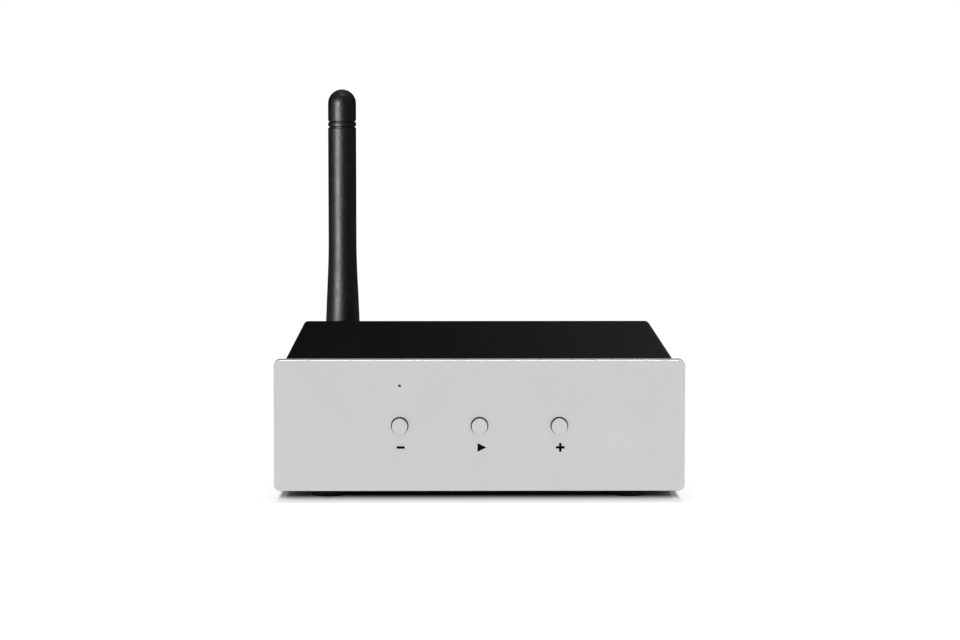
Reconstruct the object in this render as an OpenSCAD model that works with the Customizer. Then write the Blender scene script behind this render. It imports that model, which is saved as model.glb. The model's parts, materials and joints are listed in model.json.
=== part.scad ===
// Compact network music streamer: a folded steel case behind a thick silver front plate,
// with three push buttons, a status light, rear sockets and a folding radio antenna.
// Frame: +X right, +Y to the rear, +Z up, origin at the bottom centre of the whole object.

/* [Front panel] */
// Width of the front panel
panel_w = 103; // [99:0.5:120]
// Height of the front panel
panel_h = 33; // [31:0.5:40]
// Thickness of the front panel
panel_t = 4; // [3.5:0.1:6]
// Corner radius of the front panel
panel_corner_r = 1.5; // [0.8:0.1:3]
// Chamfer round the front panel's face
panel_chamfer = 0.3; // [0.1:0.05:0.5]

/* [Case] */
// Outside width of the top cover
case_w = 98.5; // [96:0.5:110]
// Depth of the case behind the front panel
case_d = 106; // [100:1:130]
// Thickness of the steel sheet
sheet_t = 1; // [0.8:0.1:1.4]
// Inside radius of the sheet's bends
bend_r = 0.5; // [0.3:0.1:1.5]
// How far the cover's top lies below the panel's top
cover_drop = 0.2; // [0:0.1:1]
// How far the rear wall stands inside the cover's rear edge
rear_recess = 1; // [0.5:0.1:2]
// Height of the rubber feet
foot_h = 3; // [2:0.5:6]
// Diameter of the rubber feet
foot_d = 10; // [8:0.5:14]
// Distance of the feet from the case's front, rear and sides
foot_inset = 11; // [9:0.5:14]

/* [Buttons and light] */
// Distance between neighbouring buttons
button_pitch = 20; // [16:0.5:22]
// Diameter of a button
button_d = 4; // [3.4:0.1:5]
// How far a button stands out of the panel
button_proud = 1.8; // [1.2:0.1:3]
// How far a button can be pushed in
button_travel = 0.5; // [0.2:0.1:0.8]
// Height of the status light above the buttons
light_rise = 10; // [8:0.5:11]
// Diameter of the status light's pinhole
light_hole_d = 0.7; // [0.5:0.1:1.5]
// Diameter of the light pipe
light_pipe_d = 3; // [2:0.1:3.6]

/* [Circuit boards] */
// Thickness of a circuit board
board_t = 1.6; // [1:0.1:2]
// Height of the main board's standoffs
standoff_h = 5; // [4:0.5:7]
// Width of the front board
front_board_w = 64; // [60:1:72]
// Height of the front board
front_board_h = 19; // [17:0.5:20]
// Side of a push switch's square body
switch_w = 6; // [5.5:0.1:7]
// Depth of a push switch's body
switch_d = 3.5; // [3.2:0.1:5]
// Width of the ribbon cable
ribbon_w = 10; // [6:0.5:14]

/* [Sockets] */
// Width of the network socket
lan_w = 16; // [15:0.1:17]
// Height of the network socket
lan_h = 13.4; // [13.2:0.1:15]
// Depth of the network socket
lan_d = 15.6; // [15:0.1:22]
// Width of the optical socket
optical_w = 10; // [9.8:0.1:11]
// Height of the optical socket
optical_h = 10.4; // [10.2:0.1:12]
// Depth of the optical socket
optical_d = 14; // [13.6:0.1:18]
// Outside diameter of a phono socket's shell
phono_d = 8.3; // [8:0.1:9]
// How far a phono socket stands out of the rear wall
phono_proud = 9; // [7:0.1:11]
// Distance between the two phono sockets
phono_pitch = 14; // [13:0.1:15]
// Width of the power socket
power_w = 9.2; // [8.8:0.1:10]
// Height of the power socket
power_h = 11; // [10.6:0.1:13]
// Depth of the power socket
power_d = 14; // [13.4:0.1:18]
// Diameter of the power socket's centre pin
power_pin_d = 2.1; // [1.7:0.1:2.5]

/* [Antenna] */
// Distance of the antenna's axis from the case's left side
antenna_inset = 10.5; // [9:0.25:12]
// Height of the antenna socket above the case's underside
antenna_rise = 14.5; // [13:0.5:16]
// Length of the whip from its hinge to its tip
whip_len = 83.6; // [70:0.2:120]
// Diameter of the whip's foot and of the antenna's base
whip_foot_d = 10; // [9:0.1:12]
// Diameter of the whip's upper part
whip_tip_d = 8.1; // [7:0.1:8.8]
// Distance from the whip's tip to the joint of its cap
cap_len = 9.3; // [7:0.1:14]
// Distance from the cap's joint down to the second groove
groove_gap = 1.55; // [1.2:0.05:3]
// Diameter of the antenna's hinge pin
hinge_pin_d = 3; // [2:0.1:3.4]

/* [Hidden] */
$fn = 48;
EPS = 0.01;

// Clearances
fit_gap = 0.15;      // between the cover and the chassis
thread_gap = 0.05;   // between a screw and its thread, a stem and its hole
run_gap = 0.07;      // between a shaft and the hole it turns or slides in
cut_gap = 0.2;       // between a socket and its cut-out
clear_hole_gap = 0.2; // round a screw in a clearance hole

// Screws: thread and head sizes
m3_r = 1.5;
m3_head_r = 2.7;
m3_head_h = 1.6;
m25_r = 1.25;
m25_head_r = 2.3;
m25_head_h = 1.5;
thread_depth = 3;    // depth of a blind threaded hole in the front panel
rear_screw_len = 2 * sheet_t + 2;

// Heights
case_z = foot_h;
panel_top_z = foot_h + panel_h;
button_z = foot_h + panel_h / 2;
light_z = button_z + light_rise;
cover_top_z = panel_top_z - cover_drop;
floor_z = case_z + sheet_t;
wall_top_z = cover_top_z - sheet_t - fit_gap;
board_z = floor_z + standoff_h;
board_top_z = board_z + board_t;
antenna_z = case_z + antenna_rise;

// Antenna, measured backwards from the rear wall's outer face
washer_t = 0.6;
nut_t = 2;
nut_flats = 8;
socket_r = 3.15;
socket_flange_t = 2;
socket_mouth_r = 2.1;
socket_mouth_d = 3.5;
coupling_start = washer_t + nut_t + 0.3;
coupling_len = 8.5;
coupling_wall = 1.5;
coupling_end = coupling_start + coupling_len;
spigot_r = 2.5;
spigot_head_r = 3;
spigot_head_t = 0.8;
socket_len = coupling_end - coupling_wall - spigot_head_t - 0.3;
collar_len = 4.5;
base_start = coupling_end + 0.1;
base_r = whip_foot_d / 2;
tongue_r = base_r - 0.4;
hinge_reach = base_start + collar_len + base_r;
antenna_back = hinge_reach + base_r;

// Depths: the origin is in the middle of everything, buttons and antenna included
total_d = button_proud + panel_t + case_d - rear_recess + antenna_back;
front_y = -total_d / 2 + button_proud;
panel_back_y = front_y + panel_t;
wall_in_y = panel_back_y + sheet_t;
case_back_y = panel_back_y + case_d;
rear_out_y = case_back_y - rear_recess;
rear_in_y = rear_out_y - sheet_t;
hinge_y = rear_out_y + hinge_reach;

// Chassis and cover
chassis_w = case_w - 2 * (sheet_t + fit_gap);
tab_len = 11;
tab_h = 10;
tab_inset = 17;
tab_ys = [panel_back_y + tab_inset, case_back_y - tab_inset];
tab_hole_z = floor_z + 6;
rear_tab = [12, 9];
rear_tab_x = 16;
rear_tab_y = rear_in_y - rear_tab[1] / 2;
panel_screw_inset = [7.5, 7];
panel_screw_x = chassis_w / 2 - panel_screw_inset[0];
panel_screw_zs = [case_z + panel_screw_inset[1], wall_top_z - panel_screw_inset[1]];

// Feet: a disc below the floor and a barbed stem through it
foot_stem_r = 2;
foot_barb_r = 2.6;
foot_barb_h = 1.2;
foot_x = case_w / 2 - foot_inset;
foot_front_y = panel_back_y + foot_inset;
foot_rear_y = case_back_y - foot_inset;

// Buttons, from the panel's back inwards
button_xs = [-button_pitch, 0, button_pitch];
button_r = button_d / 2;
button_gap = 0.3;
button_edge_r = 0.35;
flange_gap = 0.1;
flange_t = 1;
flange_r = button_r + 1.5;
flange_room = 0.5;
stem_r = button_r - 0.5;
guide_t = 3;
guide_pocket = flange_gap + flange_t + button_travel + 0.3 - sheet_t;
guide_back_y = wall_in_y + guide_t;
stem_end_y = guide_back_y + 1;
plunger_proud = 1.5;
plunger_in = 1.2;
plunger_r = switch_w / 2 - 1.3;
switch_front_y = stem_end_y + plunger_proud;
front_board_y = switch_front_y + switch_d;
front_board_back_y = front_board_y + board_t;
front_board_top_z = light_z + 3.5;
front_board_z = front_board_top_z - front_board_h;
post_inset = 4;
post_x = front_board_w / 2 - post_inset;
post_z = button_z + 4;
post_r = 2.8;
guide_w = front_board_w;
guide_screw_x = button_pitch / 2;
guide_screw_z = light_z - 2.5;
light_size = [2, 1.1, 1.25];

// Ribbon cable from the front board to the main board
ribbon_t = 0.3;
ribbon_bend_r = 4;
connector_size = [ribbon_w + 3, 3, 4];
ribbon_rise = 0.9;
front_connector_z = board_top_z + connector_size[2] + ribbon_bend_r + ribbon_rise;
connector_reach = 14;
main_connector_y = front_board_back_y + connector_reach;

// Main board
board_gap = 2.4;
board_w = chassis_w - 2 * (sheet_t + board_gap);
board_front_edge = 4;
board_rear_gap = 1;
board_front_y = main_connector_y - board_front_edge;
board_back_y = rear_in_y - board_rear_gap;
standoff_r = 3;
standoff_side = 4.5;
standoff_inset = [5, 26];
standoff_x = board_w / 2 - standoff_side;
standoff_ys = [board_front_y + standoff_inset[0], board_back_y - standoff_inset[1]];

// Sockets along the rear wall, with even gaps between the antenna and the power socket
power_inset = 10.75;
phono_r = phono_d / 2;
phono_ring_r = phono_r + 1.45;
phono_pair_w = phono_pitch + 2 * phono_ring_r;
antenna_x = antenna_inset - case_w / 2;
power_x = case_w / 2 - power_inset;
sockets_left = antenna_x + base_r;
sockets_right = power_x - power_w / 2;
socket_gap = (sockets_right - sockets_left - phono_pair_w - optical_w - lan_w) / 4;
phono_x = sockets_left + socket_gap + phono_pair_w / 2;
phono_xs = [phono_x + phono_pitch / 2, phono_x - phono_pitch / 2];
optical_x = phono_x + phono_pair_w / 2 + socket_gap + optical_w / 2;
lan_x = optical_x + optical_w / 2 + socket_gap + lan_w / 2;

// Network socket
lan_proud = 0.8;
lan_mouth_y = rear_out_y + lan_proud;
lan_shield_t = 0.3;
lan_cavity = [11.9, 12.5, 8.2];
lan_cavity_z = board_top_z + 3.4;
lan_notch = [6.4, 1.5];
lan_keyway = [3.6, 1];
lan_contact_pitch = 1.02;
lan_contact_w = 0.45;
lan_contact_t = 0.35;
lan_contact_drop = 2.9;
lan_contact_root = [2, 4];
lan_contact_reach = 10.6;
lan_contact_lip = 0.2;
lan_light = [3.2, 1.5, 1.1];
lan_light_x = lan_w / 2 - 2.9;
lan_light_z = board_top_z + lan_h - lan_shield_t - 0.1 - lan_light[2];

// Optical socket and its dust shutter
optical_mouth_y = rear_out_y + 0.6;
optical_cavity = [8.4, 10.5, 8.4];
optical_cavity_z = board_top_z + 0.9;
shutter_pivot_y = optical_mouth_y - 1.2;
shutter_pivot_z = optical_cavity_z + optical_cavity[2] - 0.8;
shutter_t = 0.7;
shutter_side_gap = 0.2;
shutter_foot_gap = 0.25;
shutter_knuckle_r = 0.55;
shutter_pin_r = 0.35;
shutter_pin_len = 0.5;
emitter_r = 1.5;
emitter_len = 3;
emitter_proud = 1;

// Phono sockets
phono_z = board_top_z + 7;
phono_wall = 0.6;
phono_seat = 6;
phono_seat_r = phono_r + 0.25;
phono_insulator_r = phono_r - phono_wall - thread_gap;
phono_bore_r = 1.75;
phono_insulator_recess = 0.6;
phono_contact_r = 2;
phono_contact_bore_r = 1.45;
phono_contact_reach = 0.6;
phono_tail = 2;
phono_ring_t = 1.6;
phono_housing_side = 6;
phono_housing_w = phono_pitch + 2 * phono_housing_side;
phono_housing_d = 11;
phono_screw_rise = sqrt(pow(phono_ring_r + m3_head_r + cut_gap, 2) - pow(phono_pitch / 2, 2));
phono_screw_z = phono_z + phono_screw_rise;
phono_housing_h = phono_screw_z + m3_r + 1.2 - board_top_z;

// Power socket
power_mouth_y = rear_out_y + 0.5;
power_rise = 6.5;
power_z = board_top_z + power_rise;
power_bore_r = 3.15;
power_bore_d = 10;
power_pin_r = power_pin_d / 2;
power_pin_seat = 2.5;
power_pin_seat_r = power_pin_r + 0.3;
power_pin_recess = 0.8;

// Radio module and the parts on the main board
module_size = [34, 28, 1];
module_offset = [18, 22];
module_x = antenna_x + module_offset[0];
module_y = board_front_y + module_offset[1];
shield_size = [25, 20, 2.6];
shield_t = 0.3;
shield_offset = [3, -2, 0];
module_top_z = board_top_z + module_size[2];
plug_x = module_x - module_size[0] / 2 + 2.2;
plug_y = module_y + module_size[1] / 2 - 4;
plug_r = 1.4;
plug_h = 1.5;
plug_barrel = [2, 3, 1.9];
pigtail_r = 0.9;
pigtail_tail = 5;
pigtail_tail_r = 2;
pigtail_sides = 8;
capacitor_count = 4;
capacitor_x = 12;
capacitor_offset = 22;
capacitor_y = board_front_y + capacitor_offset;
capacitor_gap = 1.5;
capacitor_d = 6.3;
capacitor_h = 8;
chip_row = 25;
transformer_gap = 4.6;
regulator_gap = 2;
converter_size = [6.5, 6.4, 1.2];
amplifier_size = [5, 4, 1.5];
amplifier_offset = 10;
regulator_size = [6.6, 6, 2.3];
transformer_size = [12.7, 9.4, 5.4];
inductor_r = 5;
inductor_h = 5;
inductor_offset = [-6, 36];
inductor_x = power_x + inductor_offset[0];
inductor_y = board_front_y + inductor_offset[1];

// Route of the thin coaxial lead inside the case, from the antenna socket to the radio module
pigtail_start = [antenna_x, rear_in_y - socket_flange_t - pigtail_tail, antenna_z];
pigtail_end = [plug_x, plug_y + plug_barrel[1], module_top_z + pigtail_r + thread_gap];
pigtail_span = pigtail_start - pigtail_end;

// Antenna whip, measured upwards from its hinge
whip_r = whip_tip_d / 2;
whip_start = base_r + 0.4;
flare_start = whip_start + 4.6;
flare_len = 30;
flare_end = flare_start + flare_len;
cap_joint = whip_len - cap_len;
groove_depth = 0.35;
groove_half = 0.35;
whip_bore_r = 2.6;
whip_bore_start = whip_start + 3.6;
cap_spigot_len = 4;
cap_spigot_gap = 0.1;
tongue_half = 2.45;
slot_half = tongue_half + 0.1;
slot_start = base_start + collar_len - 0.1;

// Points on an arc of radius r about c from angle a to angle b
function arc(c, r, a, b, n = 8) =
    [for (i = [0:n]) let (t = a + (b - a) * i / n) [c[0] + r * cos(t), c[1] + r * sin(t)]];

// Smooth step from 0 to 1
function ease(t) = t * t * (3 - 2 * t);

// Turns a child that stands along +Z so that it points along +Y from a place
module along_y(x, y, z) {
    translate([x, y, z]) rotate([-90, 0, 0]) children();
}

// Turns a child that stands along +Z so that it points along +X or -X from a place
module along_x(x, y, z, side = 1) {
    translate([x, y, z]) rotate([0, 90 * side, 0]) children();
}

// A box given by its centre in x, its front in y, its bottom in z and its size
module block(x, y, z, size) {
    translate([x - size[0] / 2, y, z]) cube(size);
}

module rounded_rect(w, h, r) {
    square([w - 2 * r, h], center = true);
    square([w, h - 2 * r], center = true);
    for (x = [-1, 1], y = [-1, 1])
        translate([x * (w / 2 - r), y * (h / 2 - r)]) circle(r);
}

// A rectangle of width w and height h that stands on y = 0, with its two top corners rounded
module arched(w, h, r) {
    intersection() {
        rounded_rect(w, 2 * h, r);
        translate([-w / 2, 0]) square([w, h]);
    }
}

// Section of a folded sheet: a U of width w and height h that opens upwards from y = 0
module folded_u(w, h, t, r) {
    intersection() {
        difference() {
            translate([0, h]) rounded_rect(w, 2 * h, r + t);
            translate([0, h + t]) rounded_rect(w - 2 * t, 2 * h, r);
        }
        translate([-w / 2, 0]) square([w, h]);
    }
}

module ring(r_out, r_in, h) {
    difference() {
        cylinder(r = r_out, h = h);
        translate([0, 0, -EPS]) cylinder(r = r_in, h = h + 2 * EPS);
    }
}

// Round-head screw: its head's seat at z = 0, the head above and the thread below
module screw(r, head_r, head_h, length) {
    difference() {
        rotate_extrude()
            polygon(concat(
                [[0, -length], [r - 0.2, -length], [r, -length + 0.3], [r, 0], [head_r, 0]],
                arc([head_r - head_h * 0.6, head_h * 0.4], head_h * 0.6, 0, 90, 6),
                [[0, head_h]]));
        translate([0, 0, head_h * 0.4]) cylinder(r = head_r * 0.42, h = head_h, $fn = 6);
    }
}

// A straight hole along y from the front panel's face to behind the front board
module front_hole(x, z, r) {
    along_y(x, front_y - EPS, z) cylinder(r = r, h = front_board_back_y - front_y);
}

// Places its children at each of the four panel screws
module at_panel_screws() {
    for (side = [-1, 1], z = panel_screw_zs) translate([side * panel_screw_x, 0, z]) children();
}

// Front panel: chamfered plate with button holes, a pinhole and blind threads in its back
module front_panel() {
    color("silver") difference() {
        along_y(0, 0, button_z) hull() {
            translate([0, 0, front_y + panel_chamfer])
                linear_extrude(panel_t - panel_chamfer) rounded_rect(panel_w, panel_h, panel_corner_r);
            translate([0, 0, front_y]) linear_extrude(panel_t)
                rounded_rect(panel_w - 2 * panel_chamfer, panel_h - 2 * panel_chamfer,
                             panel_corner_r - panel_chamfer);
        }
        for (x = button_xs) front_hole(x, button_z, button_r + button_gap);
        front_hole(-button_pitch, light_z, light_hole_d / 2);
        along_y(-button_pitch, panel_back_y - thread_depth, light_z)
            cylinder(r = light_pipe_d / 2 + thread_gap, h = panel_t);
        at_panel_screws() along_y(0, panel_back_y - thread_depth, 0)
            cylinder(r = m3_r + thread_gap, h = panel_t);
        for (side = [-1, 1]) along_y(side * guide_screw_x, panel_back_y - thread_depth, guide_screw_z)
            cylinder(r = m25_r + thread_gap, h = panel_t);
    }
}

// Holes that the rear panel has for the sockets
module rear_cutouts() {
    reach = 2 * sheet_t;
    translate([0, rear_in_y - sheet_t / 2, 0]) {
        block(lan_x, 0, board_top_z - cut_gap, [lan_w + 2 * cut_gap, reach, lan_h + 2 * cut_gap]);
        block(optical_x, 0, board_top_z - cut_gap,
              [optical_w + 2 * cut_gap, reach, optical_h + 2 * cut_gap]);
        block(power_x, 0, board_top_z - cut_gap, [power_w + 2 * cut_gap, reach, power_h + 2 * cut_gap]);
        for (x = phono_xs) along_y(x, 0, phono_z) cylinder(r = phono_seat_r + cut_gap, h = reach);
        along_y(phono_x, 0, phono_screw_z) cylinder(r = m3_r + clear_hole_gap, h = reach);
        along_y(antenna_x, 0, antenna_z) cylinder(r = socket_r + 0.1, h = reach);
    }
}

// Chassis: front wall and floor folded from one sheet, with threaded side tabs
module chassis() {
    length = rear_out_y - panel_back_y;
    wall_h = wall_top_z - case_z;
    color("#1c1c1e") difference() {
        union() {
            intersection() {
                translate([-chassis_w / 2, panel_back_y + length, case_z]) rotate([90, 0, 90])
                    linear_extrude(chassis_w) folded_u(2 * length, wall_h, sheet_t, bend_r);
                translate([0, rear_out_y, case_z]) rotate([90, 0, 0])
                    linear_extrude(length + 1) arched(chassis_w, wall_h, bend_r);
            }
            for (side = [-1, 1], y = tab_ys)
                block(side * (chassis_w - sheet_t) / 2, y - tab_len / 2, case_z, [sheet_t, tab_len, tab_h]);
        }
        for (x = button_xs) along_y(x, panel_back_y - EPS, button_z)
            cylinder(r = flange_r + flange_room, h = 2 * sheet_t);
        along_y(-button_pitch, panel_back_y - EPS, light_z)
            cylinder(r = light_pipe_d / 2 + clear_hole_gap, h = 2 * sheet_t);
        at_panel_screws() along_y(0, panel_back_y - EPS, 0)
            cylinder(r = m3_r + clear_hole_gap, h = 2 * sheet_t);
        for (side = [-1, 1]) along_y(side * guide_screw_x, panel_back_y - EPS, guide_screw_z)
            cylinder(r = m25_r + clear_hole_gap, h = 2 * sheet_t);
        for (side = [-1, 1], y = tab_ys)
            along_x(side * (chassis_w / 2 - 2 * sheet_t), y, tab_hole_z, side)
                cylinder(r = m3_r + thread_gap, h = 3 * sheet_t);
        for (x = [-foot_x, foot_x], y = [foot_front_y, foot_rear_y])
            translate([x, y, case_z - EPS]) cylinder(r = foot_stem_r + thread_gap, h = 2 * sheet_t);
        for (side = [-1, 1]) translate([side * rear_tab_x, rear_tab_y, case_z - EPS])
            cylinder(r = m3_r + clear_hole_gap, h = 2 * sheet_t);
    }
}

// Rear panel: a plate with the sockets' cut-outs, on two threaded tabs that lie on the floor
module rear_panel() {
    wall_h = wall_top_z - floor_z;
    color("#1c1c1e") difference() {
        union() {
            translate([0, rear_out_y, floor_z]) rotate([90, 0, 0])
                linear_extrude(sheet_t) arched(chassis_w, wall_h, bend_r);
            for (side = [-1, 1])
                block(side * rear_tab_x, rear_in_y - rear_tab[1], floor_z,
                      [rear_tab[0], rear_tab[1] + EPS, sheet_t]);
        }
        for (side = [-1, 1]) translate([side * rear_tab_x, rear_tab_y, floor_z - EPS])
            cylinder(r = m3_r + thread_gap, h = 2 * sheet_t);
        rear_cutouts();
    }
}

// Top cover: top and two sides folded from one sheet, with screw holes low in the sides
module top_cover() {
    color("#141416") difference() {
        translate([0, case_back_y, cover_top_z]) rotate([90, 0, 0]) mirror([0, 1, 0])
            linear_extrude(case_d) folded_u(case_w, cover_top_z - case_z, sheet_t, bend_r);
        for (side = [-1, 1], y = tab_ys) along_x(side * (case_w / 2 - 2 * sheet_t), y, tab_hole_z, side)
            cylinder(r = m3_r + clear_hole_gap, h = 3 * sheet_t);
    }
}

module cover_screws() {
    color("#2a2a2c") for (side = [-1, 1], y = tab_ys)
        along_x(side * case_w / 2, y, tab_hole_z, side)
            screw(m3_r, m3_head_r, m3_head_h, 3 * sheet_t + 1.5);
}

// Rear screws: two up through the floor into the rear panel's tabs, one into the phono sockets' block
module rear_screws() {
    color("#2a2a2c") {
        for (side = [-1, 1]) translate([side * rear_tab_x, rear_tab_y, case_z]) rotate([180, 0, 0])
            screw(m3_r, m3_head_r, m3_head_h, rear_screw_len);
        along_y(phono_x, rear_out_y, phono_screw_z) screw(m3_r, m3_head_r, m3_head_h, rear_screw_len);
    }
}

module panel_screws() {
    color("#9a9a9c") at_panel_screws()
        along_y(0, wall_in_y, 0) screw(m3_r, m3_head_r, m3_head_h, sheet_t + thread_depth - 0.3);
}

// Rubber foot: a tapered pad under the floor, and a stem with a barb above it
module foot(x, y) {
    r = foot_d / 2;
    stem_top = floor_z + thread_gap;
    color("#202020") translate([x, y, 0]) rotate_extrude()
        polygon(concat(
            [[0, 0]],
            arc([r - 0.9, 0.5], 0.5, -90, 0, 5),
            [[r, case_z], [foot_stem_r, case_z], [foot_stem_r, stem_top], [foot_barb_r, stem_top],
             [foot_stem_r - 0.4, stem_top + foot_barb_h], [0, stem_top + foot_barb_h]]));
}

module foot_front_left() { foot(-foot_x, foot_front_y); }
module foot_front_right() { foot(foot_x, foot_front_y); }
module foot_rear_left() { foot(-foot_x, foot_rear_y); }
module foot_rear_right() { foot(foot_x, foot_rear_y); }

// Button: a round cap, a flange that keeps it behind the panel, and a stem to its switch
module button(x) {
    flange_start = button_proud + panel_t + flange_gap;
    stem_end = stem_end_y - front_y + button_proud;
    color("silver") along_y(x, front_y - button_proud, button_z) rotate_extrude()
        polygon(concat(
            [[0, 0]],
            arc([button_r - button_edge_r, button_edge_r], button_edge_r, -90, 0, 6),
            [[button_r, flange_start], [flange_r, flange_start], [flange_r, flange_start + flange_t],
             [stem_r, flange_start + flange_t], [stem_r, stem_end], [0, stem_end]]));
}

module button_minus() { button(button_xs[0]); }
module button_play() { button(button_xs[1]); }
module button_plus() { button(button_xs[2]); }

// Switch plunger: it meets the button's stem and slides in the switch's body
module plunger(x) {
    color("#e8e4d8") along_y(x, stem_end_y, button_z)
        cylinder(r = plunger_r, h = plunger_proud + plunger_in);
}

module plunger_minus() { plunger(button_xs[0]); }
module plunger_play() { plunger(button_xs[1]); }
module plunger_plus() { plunger(button_xs[2]); }

// Button guide: a plate on the chassis wall with a sleeve for each stem and posts for the front board
module button_guide() {
    plate_z = button_z - flange_r - 2;
    color("#303034") difference() {
        union() {
            block(0, wall_in_y, plate_z, [guide_w, guide_t, front_board_top_z - plate_z]);
            for (side = [-1, 1]) along_y(side * post_x, guide_back_y - EPS, post_z)
                cylinder(r = post_r, h = front_board_y - guide_back_y + EPS);
        }
        for (x = button_xs) {
            along_y(x, wall_in_y - EPS, button_z)
                cylinder(r = flange_r + flange_room, h = guide_pocket + EPS);
            along_y(x, wall_in_y - EPS, button_z) cylinder(r = stem_r + run_gap, h = guide_t + 1);
        }
        along_y(-button_pitch, wall_in_y - EPS, light_z)
            cylinder(r = light_pipe_d / 2 + thread_gap, h = guide_t + 1);
        for (side = [-1, 1]) {
            along_y(side * guide_screw_x, wall_in_y - EPS, guide_screw_z)
                cylinder(r = m25_r + clear_hole_gap, h = guide_t + 1);
            along_y(side * post_x, guide_back_y, post_z)
                cylinder(r = m25_r + thread_gap, h = front_board_y - guide_back_y + 1);
        }
    }
}

module guide_screws() {
    color("#9a9a9c") for (side = [-1, 1]) along_y(side * guide_screw_x, guide_back_y, guide_screw_z)
        screw(m25_r, m25_head_r, m25_head_h, guide_t + sheet_t + thread_depth - 0.3);
}

// Push switches: square bodies with a bore for the plunger
module switch_bodies() {
    color("#18181a") for (x = button_xs) difference() {
        block(x, switch_front_y, button_z - switch_w / 2, [switch_w, switch_d, switch_w]);
        along_y(x, switch_front_y - EPS, button_z)
            cylinder(r = plunger_r + run_gap, h = plunger_in + button_travel + 0.3 + EPS);
    }
}

module front_board() {
    color("#1f5a34") difference() {
        block(0, front_board_y, front_board_z, [front_board_w, board_t, front_board_h]);
        for (side = [-1, 1]) along_y(side * post_x, front_board_y - EPS, post_z)
            cylinder(r = m25_r + clear_hole_gap, h = board_t + 2 * EPS);
    }
}

module front_board_screws() {
    color("#9a9a9c") for (side = [-1, 1]) along_y(side * post_x, front_board_back_y, post_z)
        screw(m25_r, m25_head_r, m25_head_h, board_t + front_board_y - guide_back_y - 0.5);
}

// Light pipe: a clear rod from the light on the front board to the pinhole in the panel
module light_pipe() {
    r = light_pipe_d / 2;
    shoulder = panel_t - thread_depth;
    tip = shoulder - 0.3;
    length = front_board_y - light_size[1] - 0.2 - front_y;
    color("#e8f0f4") along_y(-button_pitch, front_y, light_z) rotate_extrude()
        polygon([[0, shoulder - tip], [light_hole_d / 2 - thread_gap, shoulder - tip],
                 [light_hole_d / 2 - thread_gap, shoulder + thread_gap], [r, shoulder + thread_gap],
                 [r, length], [0, length]]);
}

module status_light() {
    color("#f4f0d0")
        block(-button_pitch, front_board_y - light_size[1], light_z - light_size[2] / 2, light_size);
}

// Ribbon cable: straight out of the front board, round a bend and down to the main board
module ribbon_cable() {
    start = front_board_back_y + connector_size[1];
    bend = [main_connector_y - ribbon_bend_r - start, front_connector_z - ribbon_bend_r];
    r_out = ribbon_bend_r + ribbon_t / 2;
    r_in = ribbon_bend_r - ribbon_t / 2;
    foot = board_top_z + connector_size[2];
    color("#d8d8d0") translate([-ribbon_w / 2, start, 0]) rotate([90, 0, 90]) linear_extrude(ribbon_w) {
        translate([0, front_connector_z - ribbon_t / 2]) square([bend[0], ribbon_t]);
        intersection() {
            translate(bend) difference() {
                circle(r_out);
                circle(r_in);
            }
            translate(bend) square(2 * r_out);
        }
        translate([bend[0] + r_in, foot]) square([ribbon_t, bend[1] - foot]);
    }
}

module ribbon_connectors() {
    color("#efe9da") {
        block(0, front_board_back_y, front_connector_z - connector_size[2] / 2, connector_size);
        block(0, main_connector_y - connector_size[1] / 2, board_top_z, connector_size);
    }
}

module main_board() {
    color("#1f5a34") difference() {
        block(0, board_front_y, board_z, [board_w, board_back_y - board_front_y, board_t]);
        for (x = [-standoff_x, standoff_x], y = standoff_ys)
            translate([x, y, board_z - EPS]) cylinder(r = m25_r + clear_hole_gap, h = board_t + 2 * EPS);
    }
}

module board_standoffs() {
    color("#b8a060") for (x = [-standoff_x, standoff_x], y = standoff_ys) translate([x, y, floor_z])
        difference() {
            cylinder(r = standoff_r, h = standoff_h, $fn = 6);
            translate([0, 0, 0.5]) cylinder(r = m25_r + thread_gap, h = standoff_h);
        }
}

module board_screws() {
    color("#9a9a9c") for (x = [-standoff_x, standoff_x], y = standoff_ys) translate([x, y, board_top_z])
        screw(m25_r, m25_head_r, m25_head_h, board_t + standoff_h - 1);
}

// Radio module: a small board soldered flat on the main board
module radio_module() {
    color("#203a6a") block(module_x, module_y - module_size[1] / 2, board_top_z, module_size);
}

module module_shield() {
    inner = [shield_size[0] - 2 * shield_t, shield_size[1] - 2 * shield_t, shield_size[2] - shield_t];
    color("#c8c8ca") translate(shield_offset) difference() {
        block(module_x, module_y - shield_size[1] / 2, module_top_z, shield_size);
        block(module_x, module_y - inner[1] / 2, module_top_z - EPS, inner);
    }
}

// Moulded chips on the main board: converter, amplifier, regulator and the network transformer
module board_chips() {
    color("#1a1a1c") {
        block(phono_x, board_back_y - chip_row, board_top_z, converter_size);
        block(phono_x + amplifier_offset, board_back_y - chip_row, board_top_z, amplifier_size);
        block(inductor_x, inductor_y + inductor_r + regulator_gap, board_top_z, regulator_size);
        block(lan_x, lan_mouth_y - lan_d - transformer_gap - transformer_size[1], board_top_z,
              transformer_size);
    }
}

module electrolytic_capacitors() {
    color("#26262c") for (i = [0:capacitor_count - 1])
        translate([capacitor_x + i * (capacitor_d + capacitor_gap), capacitor_y, board_top_z])
            cylinder(d = capacitor_d, h = capacitor_h);
}

// Power inductor: a drum core with a waist
module power_inductor() {
    r = inductor_r;
    h = inductor_h;
    color("#3a3a3c") translate([inductor_x, inductor_y, board_top_z]) rotate_extrude()
        polygon([[0, 0], [r, 0], [r, h * 0.2], [r * 0.8, h * 0.36], [r * 0.8, h * 0.64], [r, h * 0.8],
                 [r, h], [0, h]]);
}

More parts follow.
